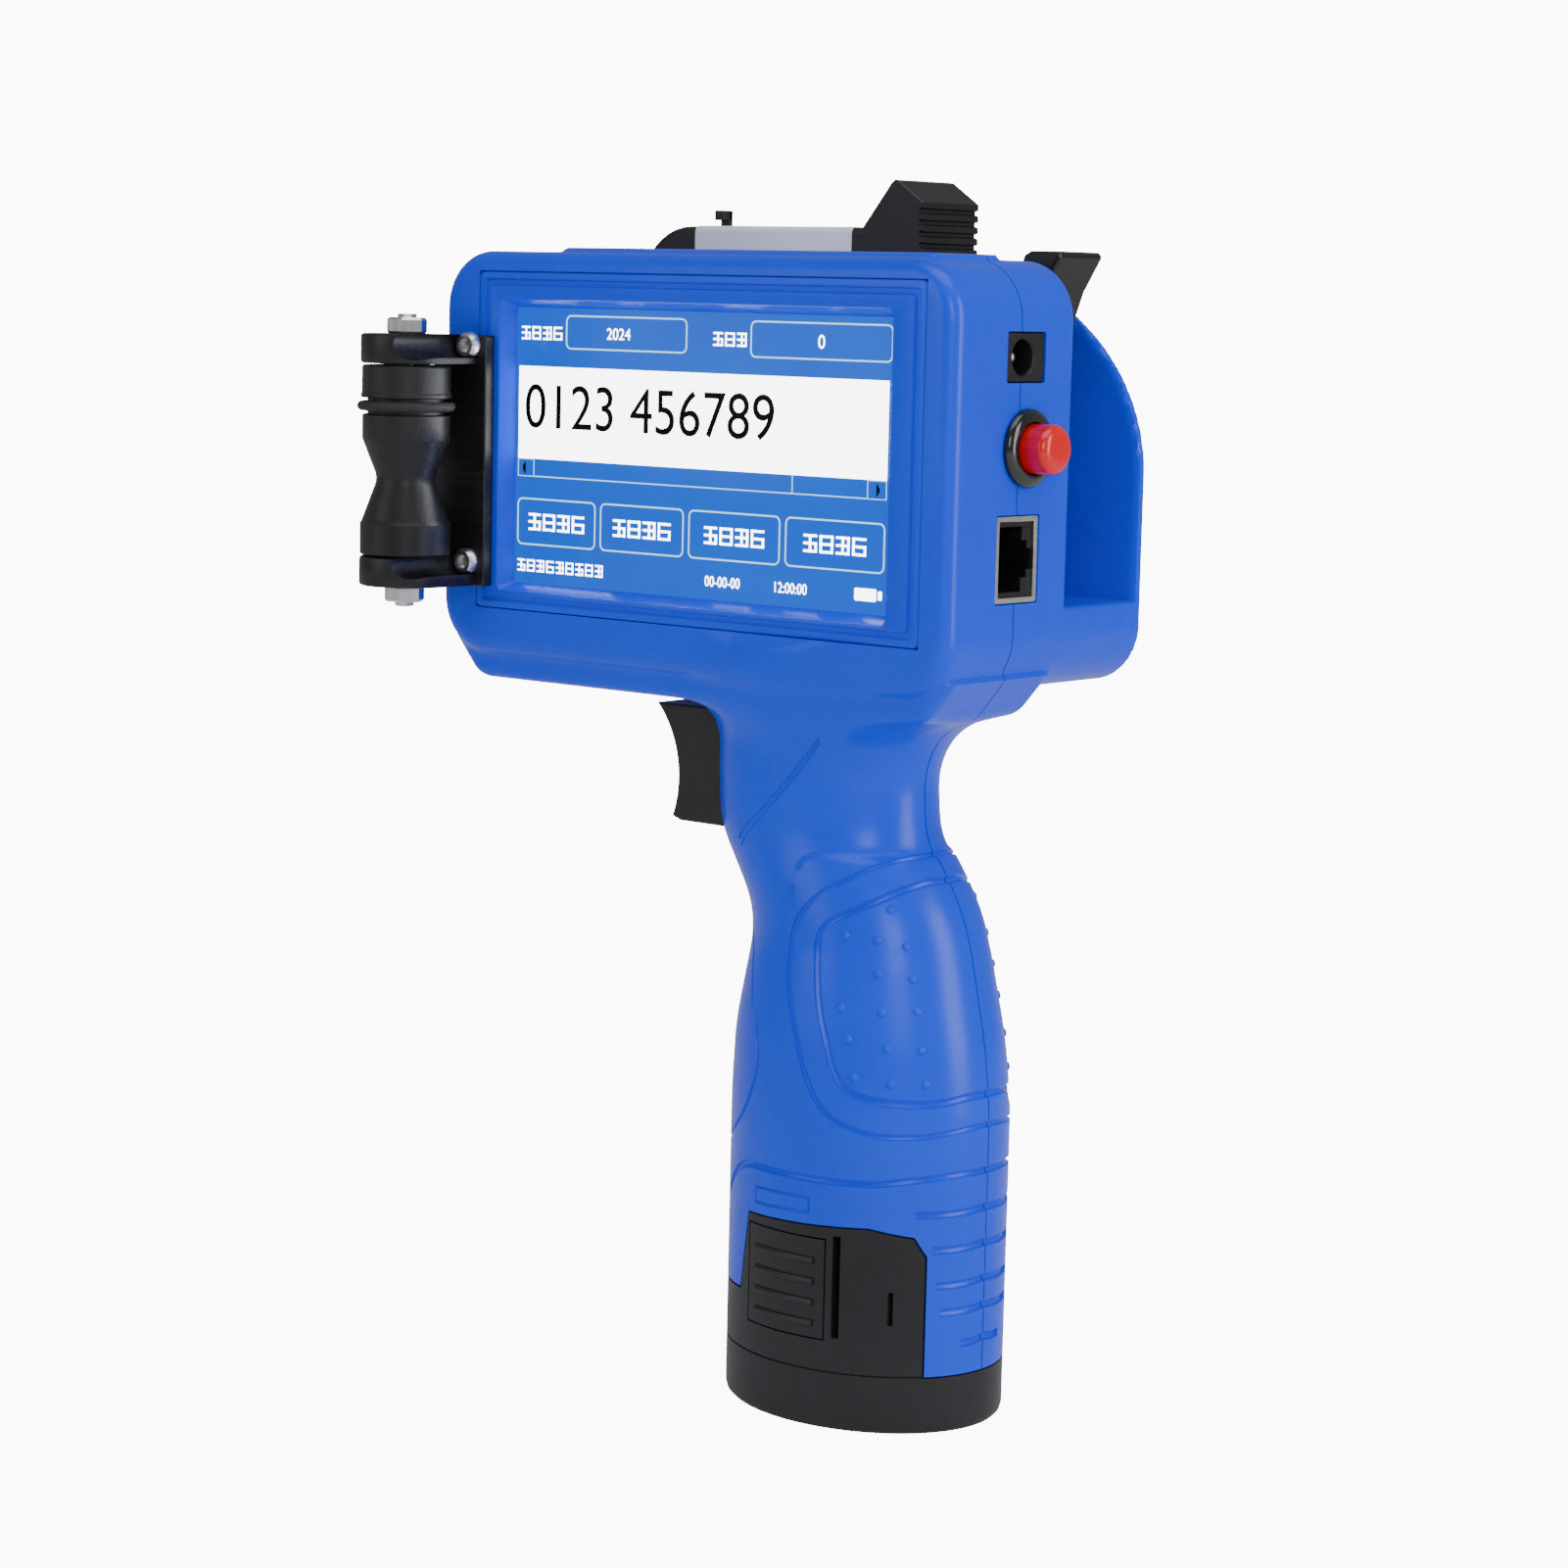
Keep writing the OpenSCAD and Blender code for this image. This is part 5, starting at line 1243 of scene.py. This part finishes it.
# %% Screw heads and nuts
def screw(r, h, shank, length, drive="cross"):
    """A head from z = 0 to h with its shank below, of sixteen-point rings, and a recess in its top."""
    a = [2 * pi * i / 16 for i in range(16)]
    circle = lambda q, z: np.array([(q * cos(t), q * sin(t), z) for t in a])
    if drive == "cross":
        size = lambda t: min(0.62 * r, 0.17 * r / max(abs(sin(t)) * abs(cos(t)) * 1.35, 0.02))
    else:
        size = lambda t: 0.5 * r / max(cos((t % (pi / 3)) - pi / 6), 0.5)
    star = lambda k, z: np.array([(k * size(t) * cos(t), k * size(t) * sin(t), z) for t in a])
    body = [circle(shank, -length), circle(shank, -0.01), circle(r, 0), circle(r, h * 0.55),
        circle(r * 0.8, h)]
    return loft(body + [star(1, h), star(0.8, h * 0.35)])


def nut(flats, h, bore):
    """A hexagonal nut on z = 0, chamfered at both ends, with a hole."""
    corner = flats / 2 / cos(pi / 6)
    steps = ((0.9 * corner, 0), (corner, h * 0.15), (corner, h * 0.85), (0.9 * corner, h), (bore, h),
        (bore, 0))
    return turned(steps, "z", (0, 0), 6)


UP, DOWN = (0, 0, 1), (0, 0, -1)
ROLLER_AT = (-94.5, -33)
ARMS = (152.2, 201.5)
BRACKET_SCREWS = [(-87.2, z) for z in (199.5, 157.0)]
FOOT_SCREWS = [(x, y) for x in (-15, 15) for y in (-8, 8)]
PLATE_SCREWS = [(7.6, 148.7), (7.6, 208), (38.2, 160.3), (38.2, 198)]

SCREW_SETS = [
    ("plate_heads", screw(2, 1.1, 1.1, 5), [(-98.05, y, z) for y, z in PLATE_SCREWS], (-1, 0, 0),
     "housing", "print_plate_screws"),
    ("bracket_heads", screw(2.7, 2.0, 1.5, 8, "hex"), [(x, -22.5, z) for x, z in BRACKET_SCREWS], (0, -1, 0),
     "housing", "bracket_screws"),
    ("foot_heads", screw(2.3, 1.1, 1.25, 5), [(x, y, 1.6) for x, y in FOOT_SCREWS], DOWN,
     "battery", "foot_screws"),
    ("shell_heads", screw(2.3, 1.9, 1.25, 8), [(x, 8.1, z) for x, z in SHELL_SCREWS], (0, 1, 0),
     "housing", "shell_screws")]
for name, head, places, way, body, node in SCREW_SETS:
    shapes_at(name, head, places, [way] * len(places), STEEL, body, (node,))
nut_places = [(*ROLLER_AT, ARMS[1]), (*ROLLER_AT, ARMS[0])]
shapes_at("hex_nuts", nut(7, 3.2, 2.0), nut_places, [UP, DOWN], ZINC, "housing", ("axle_nuts",),
    smooth=25)
print("screws placed:", sum(len(places) for _, _, places, *_ in SCREW_SETS))

# %% [markdown]
# ## Guide roller
# The bracket is a machined channel: two thick arms with round noses on a thin plate, with wells for the screw
# heads. The roller has a waist and a groove near its top for a rubber ring, which grips the packaging and
# makes the roller turn. The axle's ends are threaded, drawn as fine ridges.

# %% Bracket, roller and axle
def arm(z0, z1):
    """An arm of the fork, whose nose follows the roller's rim."""
    return prism(arc(*ROLLER_AT, 9, -180, 0, 18) + [(-85.5, -22), (-103.5, -22)], "z", z0, z1, 0.55)


obj = thing("roller_fork", mesh_of("roller_fork", arm(195.7, ARMS[1])))
back_plate = brick((-97.8, -22.5, ARMS[0]), (-83.2, -20.0, ARMS[1]), 0.5, "y")
cut_by(obj, arm(ARMS[0], 158.0), back_plate, operation="UNION")
cut_by(obj, *[solid_of([(3.0, -46), (3.0, -22.4)], "y", place, 32) for place in BRACKET_SCREWS])
finish_piece(obj, ANODISED, "housing", ("roller_bracket",))
ROLLER = [(4.0, 158.3), (8.6, 158.3), (8.9, 158.6), (8.9, 164.4), (8.6, 164.9), (8.35, 165.6),
    (6.15, 171.6), (5.85, 172.5), (5.8, 173.4), (5.9, 174.2), (8.35, 180.4), (8.6, 181.1), (8.6, 185.6),
    (8.4, 185.8), (7.6, 185.85), (7.6, 188.95), (8.7, 189.0), (8.9, 189.15), (8.9, 189.8), (8.7, 190.0),
    (8.7, 195.0), (8.4, 195.4), (4.0, 195.4)]
piece("spindle_roller", turned(ROLLER, "z", ROLLER_AT), BLACK_ABS, "roller",
    ("guide_roller",), smooth=28)
ring_section = [(8.65 + cos(radians(a)), 187.4 + 0.95 * sin(radians(a))) for a in range(0, 360, 30)]
piece("grip_ring", turned(ring_section, "z", ROLLER_AT, 48), RUBBER, "roller",
    ("roller_o_ring",), smooth=60)
low_thread, high_thread = ([(2.0 - 0.2 * (k % 2), z + 0.3 * k) for k in range(13)] for z in (148.4, 201.6))
axle = [(1.6, 148.1)] + low_thread + [(1.95, 152.4), (1.95, 201.3)] + high_thread + [(1.6, 205.4)]
piece("threaded_axle", solid_of(axle, "z", ROLLER_AT, 24), ZINC, "housing", ("roller_axle",),
    smooth=20)
print("roller:", TRIANGLES["spindle_roller"])

# %% [markdown]
# ## Ink cartridge and its latch
# The cartridge is a tall box with large shoulders, a narrow snout that ends at the nozzle plate, and a ridged
# handle on top. The label wraps over the top. It is a separate film with a faint grain, and dark bars stand
# for its print. The latch is a moulded lever on a pin; its hooked head is what the thumb pulls back.

# %% Cartridge
SIDE = [(-80.6, 155.7), (-10.4, 155.7), (-9, 157.1)] + arc(-22, 211, 13, 0, 90)
SIDE += arc(-69, 211, 13, 90, 180) + [(-82, 157.1)]
body = layered(SIDE, "y", [(-1.2, 20.6), (-0.5, 20.75), (-0.15, 21.1), (0, 21.6), (0, 29.2), (-0.25, 29.3),
    (-0.25, 29.6), (0, 29.7), (0, 37.2), (-0.15, 37.7), (-0.5, 38.05), (-1.2, 38.2)])
snout = brick((-95.0, 23.1, 155.7), (-81.5, 35.7, 182.7), 1.0, "x")
piece("ink_body", together(body, snout), BLACK_ABS, "cartridge", ("cartridge_body",),
    smooth=11)
HANDLE = [(-24.5, 223.4), (-17.1, 232.6), (-16.3, 233.2), (-15.4, 233.1), (-9.9, 229.5)]
for k in range(6):
    z = 228.9 - 2.2 * k
    HANDLE += [(-9.05, z), (-9.0, z - 1.1), (-9.85, z - 1.35), (-9.85, z - 1.95)]
HANDLE += [(-10.4, 214.8), (-14, 214.8), (-22, 219)]
piece("ink_handle", layered(HANDLE[::-1], "y", [(-0.25, 20.5), (0, 20.8), (0, 38.0), (-0.25, 38.3)]),
    BLACK_ABS, "cartridge", ("cartridge_grip",), smooth=20)
FOLD = 1.3
outer = [(20.42, 163.7), (38.38, 163.7)] + arc(38.38 - FOLD, 222.86, FOLD, 0, 90, 6)
outer += arc(20.42 + FOLD, 222.86, FOLD, 90, 180, 6)
piece("label_wrap", layered(outer, "x", [(-0.05, -67), (0, -66.9), (0, -26.6), (-0.05, -26.5)]), LABEL_FILM,
    "cartridge", ("cartridge_label",), smooth=50)
BARS = ((-63, 23.6, 20), (-63, 25.6, 27), (-63, 32.4, 14), (-46, 32.4, 9), (-63, 34.4, 24))
bars = [brick((x, y, 224.1), (x + w, y + 0.9, 224.2), 0.04, "z") for x, y, w in BARS]
piece("label_bars", together(*bars), BLACK_ABS, "cartridge", smooth=20)

# %% Latch lever
front = [(-5.2 + 0.371 * t, 164 + 0.9286 * t) for t in (0, 42.9)] + arc(3.76, 211, 10, -40, 0, 4)
LEVER = front + [(13.75, 211.4), (14.3, 213), (13.1, 217.6), (13.6, 219.2), (15.0, 220), (21.4, 220),
    (22.0, 219.5), (22.04, 218.8), (18.2, 212.4), (-1.0, 160)]
lever = prism(LEVER[::-1], "y", 22.4, 36.4, 0.7)
knuckle = solid_of([(3.6, 22.4), (4, 22.8), (4, 36.0), (3.6, 36.4)], "y", (-3, 162), 32)
tooth = prism([(-5, 165), (-1, 177), (-8.7, 173), (-8.7, 169)], "y", 22.6, 36.2, 0.3)
piece("thumb_lever", together(lever, knuckle, tooth), BLACK_ABS, "latch", ("latch_lever",),
    smooth=20)

# %% Clip above the fin
clip = [brick((-80, 41.0, 194), (-74, 42.2, 210), 0.5, "y"),
    brick((-78.2, 41.0, 209), (-75.8, 42.2, 227.7), 0.3, "y"),
    brick((-78.2, 39.0, 225.7), (-75.8, 42.2, 227.7), 0.3, "z")]
RIVET_HEAD, RIVET_SHANK = [(1.7, 42.2), (1.7, 42.6), (1.3, 42.9), (0.1, 42.95)], [(0.95, 38.9), (0.95, 42.3)]
clip += [solid_of(shape, "y", (-77, z), 16) for shape in (RIVET_HEAD, RIVET_SHANK) for z in (206, 198)]
piece("spring_clip", together(*clip), BLACK_ABS, "housing", ("locating_clip",))
print("cartridge and latch done")

# %% [markdown]
# ## Trigger
# One moulding with a finger dish that is part of a circle. Its lip stays behind the edges of the slot, so it
# can't fall out.

# %% Trigger
dish = arc(-61.8, 117.3, 20.4, 44.5, -21.8, 17)
TRIGGER = [(-23.6, 131.7)] + dish + [(-40.8, 109.0), (-23.6, 109.0)]
grip = layered(TRIGGER, "y", [(-0.45, -10.5), (-0.15, -10.4), (0, -10.1), (0, 10.1), (-0.15, 10.4),
    (-0.45, 10.5)])
lip = brick((-23.6, -12.1, 111), (-21.6, 12.1, 129.7), 0.4, "x")
piece("finger_trigger", together(grip, lip), BLACK_ABS, "trigger_body", ("trigger",),
    smooth=10)

# %% [markdown]
# ## Battery foot
# The foot has the grip's own oval, so the two read as one form. Its panel climbs up the screen side to carry
# the ribbed release button, and a narrow slot beside the button lets that part of the wall bend.

# %% Foot and release buttons
FOOT_A, FOOT_B = 28.5, 23.5


def oval(out, n=96):
    """The grip's oval at the foot, larger by out."""
    turns = [2 * pi * i / n for i in range(n)]
    return np.array([((FOOT_A + out) * cos(a), (FOOT_B + out) * sin(a)) for a in turns])


def oval_loft(steps, closed=False):
    """A loft of ovals, one for each (growth, height) step."""
    return loft([ring(oval(g), "z", t) for g, t in steps], closed)


ABOVE = [(-40.5, 21.8), (-14.0, 22.7), (-11.4, 38.2), (16, 39.2), (22.5, 37.7), (24, 34.2), (24, 11),
    (40.5, 11), (40.5, 60), (-40.5, 60)]
obj = thing("foot_cup",
    mesh_of("foot_cup", oval_loft([(-1.8, 0), (-0.9, 0.25), (-0.25, 0.9), (0, 1.9), (0, 46)])))
button_windows = bar((-11.2, -40, 17.2), (8.3, 40, 36.7))
tall_slots, short_slots = bar((9.6, -40, 17.9), (11.1, 40, 37.4)), bar((19.2, -40, 21.2), (20.0, 40, 27.5))
seam_line = oval_loft([(1, 11.15), (1, 11.55), (-0.4, 11.5), (-0.4, 11.2)], closed=True)
counterbores = [solid_of([(2.45, -1), (2.45, 1.6)], "z", place, 24) for place in FOOT_SCREWS]
cut_by(obj, flat_prism(ABOVE, "y", -40, 40), oval_loft([(-2.6, 3), (-2.6, 60)]), button_windows,
       tall_slots, short_slots, seam_line, *counterbores)
finish_piece(obj, FOOT_BLACK, "battery", ("battery_foot",))
for side, label in ((-1, "left"), (1, "right")):
    pad = thing(f"press_{label}", mesh_of("press", oval_loft([(0, 10), (0, 46)])))
    lo, hi = sorted((side * 17.5, side * 40))
    cut_by(pad, bar((-10.9, lo, 17.5), (8, hi, 36.4)), operation="INTERSECT")
    ridges = []
    for z in (20.2, 24.2, 28.2, 32.2):
        path = [(x, side * FOOT_B * sqrt(1 - (x / FOOT_A) ** 2), z) for x in np.linspace(-8.6, 5.8, 9)]
        ridges.append(tube(path, 0.75, 8, out_stretch=0.7))
    cut_by(pad, *ridges, operation="UNION")
    finish_piece(pad, FOOT_BLACK, f"release_{label}", (f"release_button_{label}",))
print("foot:", TRIANGLES["foot_cup"], "button:", TRIANGLES["press_left"])

# %% [markdown]
# ## Finishes of the measured pieces that stay
# Boards, pins, springs and the pieces deep inside keep their measured meshes and only get better materials.
# The circuit board is the one surface here with a pattern: green mask over lighter copper tracks, which a
# turned brick texture draws, so that the tracks run in straight lines and meet at right angles.

# %% Circuit board and label materials
def circuit(name):
    """Green solder mask with lighter tracks under it."""
    mat, _, links, p = node_material(name)
    t = mat.node_tree
    place = object_place(t)
    turn = add(t, "ShaderNodeMapping")
    turn.inputs["Rotation"].default_value = (radians(90), 0, 0)
    links.new(place, turn.inputs["Vector"])
    track = add(t, "ShaderNodeTexBrick", Scale=260.0, Mortar_Size=0.05, Mortar_Smooth=0.1)
    links.new(turn.outputs["Vector"], track.inputs["Vector"])
    noise = add(t, "ShaderNodeTexNoise", Scale=90.0)
    links.new(place, noise.inputs["Vector"])
    mask = math_node(t, "MULTIPLY", track.outputs["Fac"],
        math_node(t, "GREATER_THAN", noise.outputs["Fac"], 0.5))
    links.new(blend_colour(t, mask, (0.004, 0.09, 0.035), (0.02, 0.22, 0.08)), p.inputs["Base Color"])
    links.new(span(t, mask, 0.35, 0.22), p.inputs["Roughness"])
    bump = add(t, "ShaderNodeBump", Distance=0.0002, Strength=0.4)
    links.new(mask, bump.inputs["Height"])
    links.new(bump.outputs["Normal"], p.inputs["Normal"])
    return mat


GREEN_BOARD = circuit("green_board")
FOR_SLOT = {"black_plastic": BLACK_ABS, "gloss_black": POLISHED_BLACK, "red_plastic": RED_CAP,
    "steel": STEEL, "spring_steel": SPRING_WIRE, "black_aluminium": ANODISED,
    "tin_plate": TIN, "screen_module": GREY_TRAY, "plate_metal": BRUSHED_SHEET,
    "circuit_board": GREEN_BOARD, "gold_contact": GOLD, "flex_film": AMBER_FILM,
    "rubber_black": RUBBER, "cell_sleeve": CELL_WRAP, "magnet": MAGNET, "blue_shell": BLUE_ABS,
    "screen_glass": SCREEN_BLUE, "white_label": LABEL_FILM}
kept = []
for part in frame["record"]["subparts"]:
    node = frame["nodes"][part["node"]]
    if node.hide_render:
        continue
    node.data.materials.clear()
    node.data.materials.append(FOR_SLOT[part["material_slot"]])
    kept.append(part["node"])
print("measured pieces kept:", len(kept), kept)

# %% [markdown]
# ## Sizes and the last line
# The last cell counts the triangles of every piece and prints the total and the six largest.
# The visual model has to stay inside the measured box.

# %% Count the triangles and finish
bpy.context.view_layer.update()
largest = sorted(TRIANGLES.items(), key=lambda item: -item[1])[:6]
print("pieces:", len(TRIANGLES), "triangles:", sum(TRIANGLES.values()), "largest:", largest)
